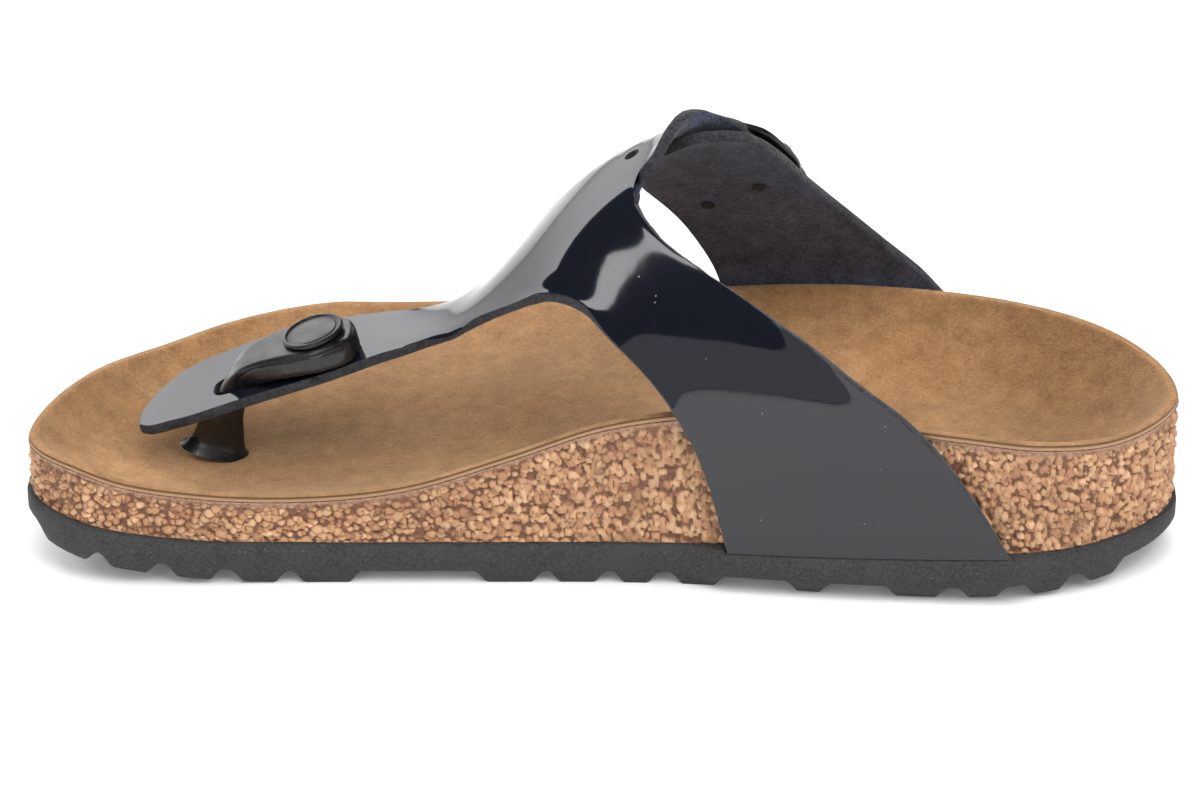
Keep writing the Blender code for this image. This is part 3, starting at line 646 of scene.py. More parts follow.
def addLining():
    # upper face from the spine to the rim, the cut edge down the side, and the lower face back to the spine
    border = outline(300)
    lining = footbed["lining"]
    upperFace = [(share, 0.0, 0.0) for share in bowlShares]
    cutEdge = [(1, inset, drop) for inset, drop in zip(liningEdge["inset"], liningEdge["drop"])]
    lowerFace = [(share, 0.3, lining) for share in (1, *bowlShares[::-3], 0)]
    hollowShade = liningHollowShade
    rings, hollow, darkLine, fleece = [], [], [], []
    for share, inset, drop in upperFace + cutEdge + lowerFace:
        ring, rise = footbedRing(border, share, inset, drop)
        x = ring[:, 0]
        # painted shade, darkest on the heel seat and fading up its walls, and on the floor at the ball
        heel = hollowShade["heel"] * ease((x - hollowShade["heelX"]) / hollowShade["heelLength"]) * (1 - hollowShade["heelWall"] * rise)
        ball = hollowShade["ball"] * np.exp(-(((x - hollowShade["ballX"]) / hollowShade["ballSpread"]) ** 2)) * (1 - rise)
        dark = ease((drop - 0.03) / 0.13) * (1 - ease((drop - 0.4) / 0.3))
        rings.append(ring)
        hollow.append(heel + ball)
        darkLine.append(np.full(len(ring), float(dark)))
        fleece.append(np.full(len(ring), float(ease((drop - 0.4) / 0.35))))
    values = {"hollow": hollow, "cutEdge": darkLine, "fleece": fleece}
    values = {name: np.concatenate(parts) for name, parts in values.items()}
    mesh = closedMesh("suedeFootbed", np.stack(rings), values)
    return addPiece("suedeFootbed", mesh, [suede], "footbed_lining", 60)


corkBlock = dict(cell=1.5, wallRows=48, steps=760, relief=1.1, smear=3.5, fleeceBand=0.9)


def granules(points, cell):
    # each cube of space holds one round grain, moved and sized by chance; a point takes the grain that covers
    # it most: dome is 1 at a grain's middle and 0 at its edge, groove is 0 where two grains meet, and tone is
    # that grain's own number
    low = np.floor(points / cell)
    best, second, tone = (np.full(len(points), -9.0) for _ in range(3))
    for step in np.ndindex(3, 3, 3):
        home = low + step - 1
        shift = np.stack([chance(home, seed) for seed in (1, 2, 3)], axis=1)
        radius = cell * (0.42 + 0.42 * chance(home, 4))
        stretch = 0.75 + 0.5 * np.stack([chance(home, seed) for seed in (5, 6, 7)], axis=1)
        away = (points - (home + shift) * cell) * stretch
        cover = 1 - np.sum(away**2, axis=1) / radius**2
        closer = cover > best
        second = np.where(closer, best, np.maximum(second, cover))
        tone = np.where(closer, chance(home, 8), tone)
        best = np.where(closer, cover, best)
    groove = ease((best - second) / 0.35)
    return np.clip(best, -1, 1), groove, tone


def addCork():
    # a wall of grains between the outsole and the lining, closed by faces that follow both
    shape = corkBlock
    border = outline(shape["steps"])
    flow = np.gradient(np.concatenate([border[-1:], border, border[:1]]), axis=0)[1:-1]
    outward = np.column_stack([flow[:, 1], -flow[:, 0], np.zeros(len(flow))])
    outward /= np.linalg.norm(outward, axis=1)[:, None]
    outward *= np.sign(np.sum(outward * (border - border.mean(axis=0)) * (0.05, 1, 0), axis=1).mean())
    topDrop = footbed["lining"] + footbed["gap"] * 0.3
    low, high = soleAt(border[:, 0], "top"), border[:, 2] - topDrop
    rise = np.linspace(0, 1, shape["wallRows"])[:, None]
    z = low + (high - low) * rise
    flat = np.stack(np.broadcast_arrays(border[:, 0], border[:, 1], z), axis=-1).reshape(-1, 3)
    below = (high - z).ravel()
    dome, groove, tone = granules(flat, shape["cell"])
    coarse = lumps(flat, 9.0, 11)
    kept = ease((below - shape["fleeceBand"]) / shape["smear"] + 0.35 * coarse + 0.2)
    # the dome also sets the cork's painted shade: low at grain edges and where grains meet
    dome = np.maximum(dome, 0) ** 0.6 * (0.2 + 0.8 * groove) * (0.35 + 0.65 * kept) * (0.75 + 0.45 * tone)
    bulge = shape["relief"] * (dome - 0.55) + 0.10 * lumps(flat, 1.1, 5) + 0.12 * lumps(flat, 5.0, 6)
    hold = np.minimum(1.0, np.minimum(below, (z - low).ravel()) / 0.5)
    fleece = 0.22 * ease((shape["fleeceBand"] - below) / 0.8) + 0.15 * lumps(flat, 0.9, 7) * (below < 2)
    push = (bulge * hold * (1 - ease((shape["fleeceBand"] - below) / 0.8)) + fleece)[:, None]
    wall = flat + np.tile(outward, (shape["wallRows"], 1)) * push
    count = len(border)
    lower = [footbedRing(border, share, 0, 0)[0] for share in (0.0, 0.5, 0.9)]
    for ring in lower:
        ring[:, 2] = soleAt(ring[:, 0], "top")
    upper = [footbedRing(border, share, 0.6, topDrop + 0.15)[0] for share in (1, *bowlShares[::-6], 0)]
    rings = np.concatenate([*lower, wall, *upper]).reshape(-1, count, 3)
    before, after = len(lower) * count, len(upper) * count
    values = {
        "grainDome": np.pad(dome, (before, after)),
        "grainTone": np.pad(tone, (before, after)),
        "belowRim": np.pad(below, (before, after)),
    }
    mesh = closedMesh("corkBlock", rings, values)
    return addPiece("corkBlock", mesh, [cork], "footbed_cork", 75)


addLining()
addCork()
print("footbed made")

# Straps: the last that they are bent over

strap = dict(
    wall=2.5,
    clearance=0.5,
    footFront=10.4,
    footRise=1.6,
    footX=29.0,
    footLength=63.0,
    bulge=0.34,
    fuzz=0.25,
    lip=3.8,  # rise of the tongue's back edge, its width, and its middle and spread as shares of the girth
    lipWidth=10.0,
    lipMiddle=0.042,
    lipSpread=0.07,
)
lastRows = table(
    "x ridge height medial lateral",
    (-106.0, -22.5, 26.4, 0.55, 0.50),
    (-95.0, -18.0, 29.8, 0.55, 0.50),
    (-80.0, -16.5, 36.0, 0.55, 0.50),
    (-64.0, -15.0, 41.3, 0.55, 0.50),
    (-51.0, -15.0, 45.0, 0.55, 0.35),
    (-42.0, -15.0, 47.0, 0.55, 0.24),
    (-34.0, -15.0, 50.0, 0.55, 0.20),
    (-26.0, -15.0, 56.4, 0.58, 0.22),
    (-17.5, -14.0, 64.4, 0.60, 0.24),
    (-12.0, -12.0, 70.5, 0.60, 0.27),
    (-6.0, -10.0, 76.0, 0.54, 0.30),
    (0.0, -8.0, 80.7, 0.47, 0.32),
    (8.0, -5.5, 85.6, 0.38, 0.32),
    (19.0, -3.0, 91.0, 0.32, 0.26),
    (30.0, -1.5, 93.0, 0.30, 0.20),
    (50.0, -1.0, 95.5, 0.30, 0.18),
    (95.0, -1.0, 98.0, 0.30, 0.18),
)


def lastAt(x, column):
    # a column of the last's table
    return through(x, lastRows["x"], lastRows[column])


def footZ(x):
    # the straps' lower edges rise a little to the heel
    return strap["footFront"] + strap["footRise"] * np.clip((x - strap["footX"]) / strap["footLength"], 0, 1)


def lastHalf(x, side):
    # one side of the last's section: a cubic from the ridge, level there and upright where it meets the rim
    top = np.stack([lastAt(x, "ridge"), lastAt(x, "height")], axis=-1)
    wall = edgeY(x, side) + side * strap["clearance"]
    low = np.stack([wall, np.minimum(rimZ(x, side) + 1.0, top[:, 1] - 3.0)], axis=-1)
    full = lastAt(x, "medial" if side == medial else "lateral")
    first = top + np.stack([(wall - top[:, 0]) * full, np.zeros_like(x)], axis=-1)
    second = low + np.stack([np.zeros_like(x), (top[:, 1] - low[:, 1]) * full], axis=-1)
    return top, first, second, low


def halfLengths(corners, samples=80):
    # the length run so far at even steps along each cubic
    t = np.linspace(0, 1, samples)
    share = [(1 - t) ** 3, 3 * t * (1 - t) ** 2, 3 * t * t * (1 - t), t**3]
    path = sum(part[None, :, None] * corner[:, None, :] for part, corner in zip(share, corners))
    steps = np.linalg.norm(np.diff(path, axis=1), axis=2)
    return t, np.concatenate([np.zeros((len(path), 1)), np.cumsum(steps, axis=1)], axis=1)


def girth(x, side):
    # the way down from the ridge to the strap's foot
    x = np.atleast_1d(np.asarray(x, float))
    corners = lastHalf(x, side)
    return halfLengths(corners)[1][:, -1] + corners[3][:, 1] - footZ(x)


def onLast(x, reach, lift=0.0):
    # points at a length from the ridge along the last's section (less than 0 on the inner side), lifted
    # outwards; past the end of the curve they go straight down
    x, reach, lift = (np.asarray(part, float) for part in np.broadcast_arrays(x, reach, lift))
    shape = x.shape
    x, reach, lift = x.ravel(), reach.ravel(), lift.ravel()
    place, out = np.zeros((len(x), 2)), np.zeros((len(x), 2))
    for side in (medial, lateral):
        here = np.flatnonzero(reach < 0 if side == medial else reach >= 0)
        if not len(here):
            continue
        corners = lastHalf(x[here], side)
        t, lengths = halfLengths(corners)
        way = np.abs(reach[here])
        i = np.clip(np.sum(lengths <= way[:, None], axis=1) - 1, 0, len(t) - 2)
        row = np.arange(len(here))
        part = (way - lengths[row, i]) / (lengths[row, i + 1] - lengths[row, i])
        s = np.clip(t[i] + part * (t[1] - t[0]), 0, 1)[:, None]
        a, b, c, d = corners
        point = (1 - s) ** 3 * a + 3 * s * (1 - s) ** 2 * b + 3 * s * s * (1 - s) * c + s**3 * d
        run = 3 * (1 - s) ** 2 * (b - a) + 6 * s * (1 - s) * (c - b) + 3 * s * s * (d - c)
        past = np.clip(way - lengths[:, -1], 0, d[:, 1] - footZ(x[here]))
        point = point - np.stack([np.zeros_like(past), past], axis=1)
        run = run / np.linalg.norm(run, axis=1)[:, None]
        place[here] = point
        out[here] = np.stack([-run[:, 1], run[:, 0]], axis=1) * side
    place = place + out * lift[:, None]
    return np.column_stack([x, place]).reshape(*shape, 3), np.column_stack([0 * x, out]).reshape(*shape, 3)


def shellMesh(name, points, quads, wall, bulge):
    # the inner sheet, the same sheet moved out by the wall along its normals, and a rounded strip between
    # their borders. Material 0 is the outer face, 1 the inner face and 2 the cut edge.
    merged, which = np.unique(np.round(points, 3), axis=0, return_inverse=True)
    quads = which.ravel()[quads]
    crossed = np.cross(merged[quads[:, 2]] - merged[quads[:, 0]], merged[quads[:, 3]] - merged[quads[:, 1]])
    normal = np.zeros_like(merged)
    for corner in range(4):
        np.add.at(normal, quads[:, corner], crossed)
    normal /= np.linalg.norm(normal, axis=1)[:, None]
    count = len(merged)
    edges = np.concatenate([quads[:, [i, (i + 1) % 4]] for i in range(4)])
    edges = edges[edges[:, 0] != edges[:, 1]]
    keys, reverse = edges[:, 0] * count + edges[:, 1], edges[:, 1] * count + edges[:, 0]
    border = edges[~np.isin(keys, reverse)]
    along = merged[border[:, 1]] - merged[border[:, 0]]
    along /= np.linalg.norm(along, axis=1)[:, None]
    outward = np.zeros_like(merged)
    for corner in range(2):
        np.add.at(outward, border[:, corner], np.cross(along, normal[border[:, corner]]))
    rim = np.unique(border)
    outward[rim] /= np.linalg.norm(outward[rim], axis=1)[:, None]
    outer = merged + normal * wall
    layers = []
    for i, share in enumerate((0.1, 0.28, 0.5, 0.72, 0.9)):
        rough = strap["fuzz"] * lumps(merged[rim] + i * 3.1, 1.0, 20 + i)
        push = bulge * math.sin(math.pi * share) ** 0.55 + rough * math.sin(math.pi * share)
        between = outer[rim] * (1 - share) + merged[rim] * share
        layers.append(between + outward[rim] * np.reshape(push, (-1, 1)))
    number = np.zeros(count, int)
    number[rim] = np.arange(len(rim))
    a, b = border[:, 0], border[:, 1]
    stack = [(a, b)]
    for i in range(len(layers)):
        first = 2 * count + i * len(rim)
        stack.append((first + number[a], first + number[b]))
    stack.append((a + count, b + count))
    strips = [np.stack([q, p, p2, q2], axis=1) for (p, q), (p2, q2) in zip(stack[:-1], stack[1:])]
    everything = np.concatenate([outer, merged, *layers])
    faces = np.concatenate([quads, quads[:, ::-1] + count, *strips])
    slots = np.repeat([0, 1, 2], [len(quads), len(quads), sum(len(strip) for strip in strips)])
    return meshFrom(name, everything, faces, slots)


thongRows = table(
    "ridge medial medialReach lateral lateralReach",
    (-105.0, -104.7, 3.0, -104.5, 4.5),
    (-103.9, -102.2, 5.6, -102.0, 9.6),
    (-101.5, -97.8, 7.4, -98.5, 13.4),
    (-95.0, -91.5, 8.9, -94.0, 15.6),
    (-80.0, -79.0, 9.9, -79.5, 16.4),
    (-64.0, -63.5, 9.7, -63.5, 15.1),
    (-51.0, -50.5, 7.0, -50.0, 14.0),
    (-41.0, -40.0, 4.4, -38.0, 15.0),
    (-33.0, -31.5, 4.6, -26.5, 18.0),
    (-26.0, -24.5, 7.6, -14.5, 21.8),
)
wingRows = table(
    "girth front back",
    (-1.000, 28.8, 91.2),
    (-0.910, 26.6, 86.0),
    (-0.820, 24.2, 80.2),
    (-0.740, 21.4, 74.2),
    (-0.660, 17.4, 66.4),
    (-0.590, 13.2, 56.6),
    (-0.510, 7.8, 46.2),
    (-0.430, 1.9, 34.6),
    (-0.325, -4.9, 21.4),
    (-0.240, -12.0, 13.5),
    (-0.185, -16.8, 10.2),
    (-0.115, -19.5, 7.6),
    (-0.085, -20.0, 7.0),
    (-0.065, -20.2, 7.3),
    (-0.045, -20.3, 9.4),
    (-0.025, -20.3, 11.9),
    (0.000, -20.0, 14.0),
    (0.030, -19.2, 17.0),
    (0.055, -18.2, 19.4),
    (0.080, -17.0, 22.2),
    (0.120, -14.6, 27.6),
    (0.180, -10.2, 32.4),
    (0.255, -4.0, 37.6),
    (0.316, 5.2, 40.8),
    (0.395, 12.2, 43.2),
    (0.436, 14.8, 44.8),
    (0.482, 17.2, 45.6),
    (0.530, 20.4, 44.4),
    (0.570, 24.6, 41.0),
    (0.595, 30.0, 36.5),
)
neckMedial, neckLateral = -0.185, 0.255
upperGrid = dict(ribs=108, neckColumns=33, innerRows=72, outerRows=64, columns=58)

buckle = dict(
    x=24.5,
    reach=32.5,
    turn=math.radians(33),
    halfAcross=16.6,
    halfAlong=11.3,
    halfWidth=1.7,
    halfHeight=0.9,
    squareness=0.45,
    liftBar=3.9,
    liftEnd=8.5,
    rearDip=2.2,  # how far the frame's upper rear corner lies below its front one
    keeperWall=1.2,
    keeperGap=0.3,
    keeperHalfAcross=10.5,
    keeperTop=1.0,
    keeperBottom=17.0,
    loopTop=1.9,  # half length of the loop over the bar, counted in its slope's length
    loopSlope=3.2,
)
tongue = dict(
    strapGap=2.0,  # clear of the outer strap, of the keeper, and at the tongue's end
    keeperGap=1.2,
    endGap=0.7,
    barSpread=9.0,
    endStart=2.0,
    endLength=8.0,
    barReach=15.0,
    frontX=-29.0,
    frontLength=18.0,
    turnX=-8.0,  # behind here the rise begins later and is shorter
    turnLength=16.0,
    riseStart=-9.0,
    riseLater=7.0,
    riseLength=16.0,
    riseShorter=5.0,
)


def onBuckle(across, along, lift):
    # a place across and along the tongue from the frame's middle, as a point on the outer side
    across, along = np.broadcast_arrays(np.asarray(across, float), np.asarray(along, float))
    cos, sin = math.cos(buckle["turn"]), math.sin(buckle["turn"])
    x = buckle["x"] + across * cos + along * sin
    return onLast(x, buckle["reach"] - across * sin + along * cos, lift)


def tongueLift(x, reach):
    # how far the upper is raised to pass over the outer strap, and again over the buckle's bar
    cos, sin = math.cos(buckle["turn"]), math.sin(buckle["turn"])
    along = (x - buckle["x"]) * sin + (reach - buckle["reach"]) * cos
    overStrap = strap["wall"] + tongue["strapGap"]
    barTop = buckle["liftBar"] + buckle["halfHeight"] + buckle["keeperWall"] + tongue["keeperGap"]
    overBar = (barTop - overStrap) * np.exp(-(((along - buckle["halfAlong"]) / tongue["barSpread"]) ** 4))
    atEnd = ease((along - buckle["keeperBottom"] - tongue["endStart"]) / tongue["endLength"])
    toStrap = (strap["wall"] + tongue["endGap"] - overStrap) * atEnd
    lift = overStrap + (overBar + toStrap) * ease(reach / tongue["barReach"])
    late = ease((x - tongue["turnX"]) / tongue["turnLength"])
    length = tongue["riseLength"] - tongue["riseShorter"] * late
    rise = ease((reach - tongue["riseStart"] - tongue["riseLater"] * late) / length)
    return lift * ease((x - tongue["frontX"]) / tongue["frontLength"]) * rise


def upperSheet():
    # ribs across the thong, then lines along the wing and the tongue from front edge to back edge
    grid = upperGrid
    column = np.linspace(-1, 1, grid["neckColumns"])
    neck = np.where(column < 0, -column * neckMedial, column * neckLateral)
    inner = np.linspace(-1, neckMedial, grid["innerRows"])[:-1]
    outer = np.linspace(neckLateral, 1, grid["outerRows"])[1:] - neckLateral
    outer = neckLateral + outer * (wingRows["girth"][-1] - neckLateral) / (1 - neckLateral)
    share = np.concatenate([inner, neck, outer])[:, None]
    front, back = (through(share, wingRows["girth"], wingRows[name]) for name in ("front", "back"))
    x = front + (back - front) * np.linspace(0, 1, grid["columns"])
    around = {side: girth(x.ravel(), side).reshape(x.shape) for side in (medial, lateral)}
    reach = share * np.where(share < 0, around[medial], around[lateral])
    lip = strap["lip"] * np.exp(-(((share - strap["lipMiddle"]) / strap["lipSpread"]) ** 2))
    lip = lip * ease(1 - (back - x) / strap["lipWidth"])
    wing = onLast(x, reach, tongueLift(x, reach) + lip)[0]
    knots = np.arange(len(thongRows["ridge"]), dtype=float)
    at = np.linspace(0, knots[-1], grid["ribs"])
    rib = {name: through(at, knots, thongRows[name])[:, None] for name in thongRows}
    end = np.where(column < 0, rib["medial"], rib["lateral"])
    reachEnd = np.where(column < 0, rib["medialReach"], rib["lateralReach"])
    thong = onLast(rib["ridge"] + (end - rib["ridge"]) * column**2, column * reachEnd)[0]
    bridge = wing[len(inner):len(inner) + len(neck), 0]
    between = [thong[-1] * (1 - part) + bridge * part for part in (0.25, 0.5, 0.75, 1.0)]
    thong = np.concatenate([thong, between])
    first = thong.shape[0] * thong.shape[1]
    quads = [
        ringQuads(*thong.shape[:2], wrap=False)[:, ::-1],
        ringQuads(*wing.shape[:2], wrap=False, first=first),
    ]
    return np.concatenate([thong.reshape(-1, 3), wing.reshape(-1, 3)]), np.concatenate(quads)


relaxing = dict(
    step=0.6,
    ridgeRounds=240,  # all of the inner side, up to just past the ridge
    ridgeY=-2.0,
    ridgeFade=10.0,
    foldRounds=60,  # a band on the outer side, where the first one ends
    foldY=2.0,
    foldFade=6.0,
    foldEndY=16.0,
    foldEndFade=8.0,
)


def relaxed(points, quads, free, rounds):
    # a low pass over the sheet: each point moves towards the mean of its neighbours many times, with the
    # border held; what that took off is smoothed in the same way and given back, so that the large form stays
    edges = np.sort(np.concatenate([quads[:, [i, (i + 1) % 4]] for i in range(4)]), axis=1)
    edges, uses = np.unique(edges[edges[:, 0] != edges[:, 1]], axis=0, return_counts=True)
    free = np.array(free, float)
    free[edges[uses == 1].ravel()] = 0.0
    start, stop = np.concatenate([edges, edges[:, ::-1]]).T
    share = (relaxing["step"] * free / np.maximum(np.bincount(start, minlength=len(points)), 1))[:, None]

    def smooth(field):
        for _ in range(rounds):
            pull = field[stop] - field[start]
            total = [np.bincount(start, weights=pull[:, axis], minlength=len(points)) for axis in range(3)]
            field = field + share * np.stack(total, axis=1)
        return field

    base = smooth(points)
    return base + smooth(points - base)


def turnedRings(profile, centre, axis, count):
    # rings of radius and height about an axis
    axis = np.asarray(axis, float)
    side = np.cross(axis, (1.0, 0.0, 0.0) if abs(axis[0]) < 0.9 else (0.0, 1.0, 0.0))
    side /= np.linalg.norm(side)
    angle = np.linspace(0, 2 * math.pi, count, endpoint=False)[None, :, None]
    profile = np.asarray(profile, float)[:, None, None, :]
    circle = np.cos(angle) * side + np.sin(angle) * np.cross(axis, side)
    return centre + profile[..., 0] * circle + profile[..., 1] * axis


def roundedBox(count, halfAcross, halfDepth, power):
    # a superellipse: cosine and sine raised to a power below 1 grow squarer
    angle = np.linspace(0, 2 * math.pi, count, endpoint=False) + math.pi / count
    wave = np.stack([np.cos(angle), np.sin(angle)], axis=1)
    return np.sign(wave) * np.abs(wave) ** power * (halfAcross, halfDepth)


prongRows = table(
    "along lift",
    (8.9, 4.3),
    (5.0, 5.8),
    (1.0, 8.2),
    (-4.0, 10.2),
    (-11.0, 10.7),
    (-13.2, 10.3),
)


def prongRings(radius, longer, count, rounds):
    # a round section carried along the pin's path
    knots = np.arange(len(prongRows["along"]), dtype=float)
    at = np.linspace(0, knots[-1], rounds)
    ends = np.where(at == 0, 1, np.where(at == at[-1], -1, 0))
    along = through(at, knots, prongRows["along"]) + longer * ends
    path = onBuckle(np.zeros(rounds), along, through(at, knots, prongRows["lift"]))[0]
    run = np.gradient(path, axis=0)
    run /= np.linalg.norm(run, axis=1)[:, None]
    side = np.cross(run, onBuckle(0.0, 0.0, 0.0)[1])
    side /= np.linalg.norm(side, axis=1)[:, None]
    ring = roundedBox(count, radius, radius, 1.0)
    up = np.cross(side, run)
    return path[:, None] + ring[None, :, :1] * side[:, None] + ring[None, :, 1:] * up[:, None]


toeSlot = dict(x=-84.4, y=-18.5, halfLength=4.7, halfWidth=3.9, squareness=0.7, heights=(24.0, 44.0))
beltHoles = dict(radius=1.6, heights=(-4.0, 14.0), first=(5.4, 4.6), last=(32.5, 46.0))
prongSlot = dict(radius=1.4, longer=1.0, notchLonger=2.6, pinRadius=0.8)


def addUpper():
    # the sheet, smoothed and made into a shell, with the slots and belt holes cut from it
    soft = relaxing
    points, quads = upperSheet()
    points, which = np.unique(np.round(points, 3), axis=0, return_inverse=True)
    quads = which.ravel()[quads]
    free = 1 - ease((points[:, 1] - soft["ridgeY"]) / soft["ridgeFade"])
    points = relaxed(points, quads, free, soft["ridgeRounds"])
    free = ease((points[:, 1] - soft["foldY"]) / soft["foldFade"])
    free = free * (1 - ease((points[:, 1] - soft["foldEndY"]) / soft["foldEndFade"]))
    points = relaxed(points, quads, free, soft["foldRounds"])
    mesh = shellMesh("upperStrap", points, quads, strap["wall"], strap["bulge"])
    piece = addPiece("upperStrap", mesh, [patent, felt, cutFelt], "upper")
    ring = roundedBox(40, toeSlot["halfLength"], toeSlot["halfWidth"], toeSlot["squareness"])
    ring = ring + (toeSlot["x"], toeSlot["y"])
    rings = [np.column_stack([ring, np.full(len(ring), z)]) for z in toeSlot["heights"]]
    cutters = [addCutter("toeSlot", rings, cutFelt)]
    for name in ("first", "last"):
        centre, out = onLast(*beltHoles[name])
        profile = [(beltHoles["radius"], height) for height in beltHoles["heights"]]
        cutters.append(addCutter("beltHole", turnedRings(profile, centre, out, 32), cutFelt))
    rings = prongRings(prongSlot["radius"], prongSlot["longer"], 16, 24)
    cutters.append(addCutter("prongSlot", rings, cutFelt))
    cutFrom(piece, cutters)
    return piece


buckleStrapRows = table(
    "reach front rear",
    (7.0, 19.0, 26.0),
    (8.5, 14.6, 29.8),
    (12.0, 9.6, 33.4),
    (19.0, 6.0, 38.2),
    (32.0, 7.6, 45.4),
    (54.0, 18.2, 63.0),
    (68.0, 24.6, 78.0),
    (400.0, 30.0, 90.0),
)
rivets = dict(
    places={"rivetFront": (-7.3, 7.4), "rivetRear": (8.2, 5.2)},
    nodes={"rivetFront": "rivet_front", "rivetRear": "rivet_rear"},
    head=1.7,
    dome=((0.25, -0.75), (0.6, -0.68), (0.88, -0.5), (1.0, -0.2), (1.0, -0.05)),  # share of the head, height
    shaft=1.3,
    hole=1.6,
    holeHeights=(-3.0, 4.4),
)


def addBuckle():
    # the outer strap from its rounded end to its foot, the keeper's loop, two rivets, the frame and the pin
    reaches = np.minimum(buckleStrapRows["reach"], girth(60.0, lateral)[0])
    roundedEnd = np.linspace(reaches[0], reaches[3], 14)
    at = np.concatenate([roundedEnd[:-1], np.linspace(reaches[3], reaches[-1], 70)])
    front, rear = (through(at, reaches, buckleStrapRows[name])[:, None] for name in ("front", "rear"))
    x = front + (rear - front) * np.linspace(0, 1, 44)
    reach = at[:, None] * girth(x.ravel(), lateral).reshape(x.shape) / reaches[-1]
    sheet = onLast(x, reach)[0]
    quads = ringQuads(*sheet.shape[:2], wrap=False)
    mesh = shellMesh("outerStrap", sheet.reshape(-1, 3), quads, strap["wall"], strap["bulge"])
    outerStrap = addPiece("outerStrap", mesh, [patent, felt, cutFelt], "buckle_strap")
    along = np.linspace(buckle["keeperTop"], buckle["keeperBottom"], 50)[:, None]
    across = np.linspace(-buckle["keeperHalfAcross"], buckle["keeperHalfAcross"], 30)
    bend = ease(buckle["loopTop"] - np.abs(along - buckle["halfAlong"]) / buckle["loopSlope"])
    rise = (buckle["liftBar"] + buckle["halfHeight"] - strap["wall"]) * bend
    lift = strap["wall"] + buckle["keeperGap"] + rise
    loop = onBuckle(*np.broadcast_arrays(across, along), lift)[0]
    quads = ringQuads(*loop.shape[:2], wrap=False)
    mesh = shellMesh("buckleKeeper", loop.reshape(-1, 3), quads, buckle["keeperWall"], 0.2)
    keeper = addPiece("buckleKeeper", mesh, [patent, felt, cutFelt], "buckle_keeper")
    holes = []
    for name, place in rivets["places"].items():
        centre, out = onBuckle(*place, 0.0)
        shape = [(rivets["hole"], height) for height in rivets["holeHeights"]]
        holes.append(turnedRings(shape, centre, out, 24))
        profile = [(rivets["head"] * part, height) for part, height in rivets["dome"]]
        shaftEnds = (rivets["dome"][-1][1], strap["wall"] + buckle["keeperWall"])
        profile += [(rivets["shaft"], height) for height in shaftEnds]
        addLoft(name, turnedRings(profile, centre, out, 32), [rivetMetal], rivets["nodes"][name])
    cutFrom(outerStrap, [addCutter("rivetHole", rings, cutFelt) for rings in holes])
    notch = prongRings(prongSlot["radius"], prongSlot["notchLonger"], 16, 24)
    notch = addCutter("prongNotch", notch, cutFelt)
    cutFrom(keeper, [addCutter("rivetHole", rings, cutFelt) for rings in holes] + [notch])
    addFrame()
    addLoft("bucklePin", prongRings(prongSlot["pinRadius"], 0.0, 16, 40), [metal], "buckle_prong")


def addFrame():
    # a flat section carried round a rounded rectangle that is bent as the strap is
    section = roundedBox(16, buckle["halfWidth"], buckle["halfHeight"], 0.6)
    angle = np.linspace(0, 2 * math.pi, 120, endpoint=False)
    turn = np.stack([np.cos(angle), np.sin(angle)], axis=1)
    halfSizes = (buckle["halfAcross"], buckle["halfAlong"])
    corner = np.sign(turn) * np.abs(turn) ** buckle["squareness"] * halfSizes
    far = (buckle["halfAlong"] - corner[:, 1]) / (2 * buckle["halfAlong"])
    lift = buckle["liftBar"] + (buckle["liftEnd"] - buckle["liftBar"]) * far
    lift = lift - buckle["rearDip"] * far * ease(corner[:, 0] / buckle["halfAcross"] * 2 - 1)
    place = corner[:, None] + turn[:, None] * section[None, :, :1]
    rings = onBuckle(place[..., 0], place[..., 1], lift[:, None] + section[None, :, 1])[0]
    rings = np.concatenate([rings, rings[:1]])
    return addPiece("buckleFrame", closedMesh("buckleFrame", rings), [metal], "buckle_frame")


addUpper()
addBuckle()
print("straps and buckle made")

# Toe post

postRows = table(
    "x z halfAcross halfDepth",
    (-89.2, 18.9, 4.6, 8.6),
    (-88.9, 20.2, 3.7, 7.3),
    (-88.4, 22.2, 2.8, 6.0),
    (-87.4, 27.0, 2.6, 5.0),
    (-85.8, 31.0, 2.6, 3.8),
    (-84.4, 34.6, 2.7, 3.2),
    (-82.8, 37.8, 3.5, 3.0),
    (-80.2, 41.0, 5.0, 2.9),
    (-76.5, 43.2, 6.2, 2.9),
    (-72.0, 44.9, 7.3, 2.9),
    (-65.0, 46.8, 7.9, 2.9),
    (-60.0, 48.0, 6.8, 2.9),
    (-57.4, 48.6, 4.8, 2.8),
    (-56.2, 48.9, 2.4, 2.4),
)
buttonRows = table(
    "radius height",
    (6.6, 0.0),
    (7.15, 0.4),
    (7.25, 0.8),
    (7.1, 1.15),
    (6.8, 1.35),
    (6.5, 1.38),
    (6.25, 1.2),
    (6.05, 0.95),
    (5.85, 0.92),
    (5.6, 1.1),
    (5.3, 1.22),
    (3.6, 1.34),
    (2.0, 1.42),
    (0.7, 1.45),
)
toeButton = dict(x=-65.8, z=49.75, slope=math.radians(16.5))
toePlate = dict(startX=-85.5, length=5.0)  # where the post's oval section turns into the plate's

# right half of the plate's section, from its top to its bottom, as shares of the half sizes: a flat top,
# a bevel, a thin groove and an upright side
plateHalf = np.array([
    (0.00, 1.00),
    (0.40, 1.00),
    (0.78, 1.00),
    (0.88, 0.97),
    (0.95, 0.86),
    (0.985, 0.66),
    (0.955, 0.56),
    (0.955, 0.50),
    (0.99, 0.40),
    (1.00, 0.20),
    (1.00, -0.40),
    (0.99, -0.80),
    (0.95, -0.95),
    (0.80, -1.00),
    (0.40, -1.00),
    (0.00, -1.00),
])


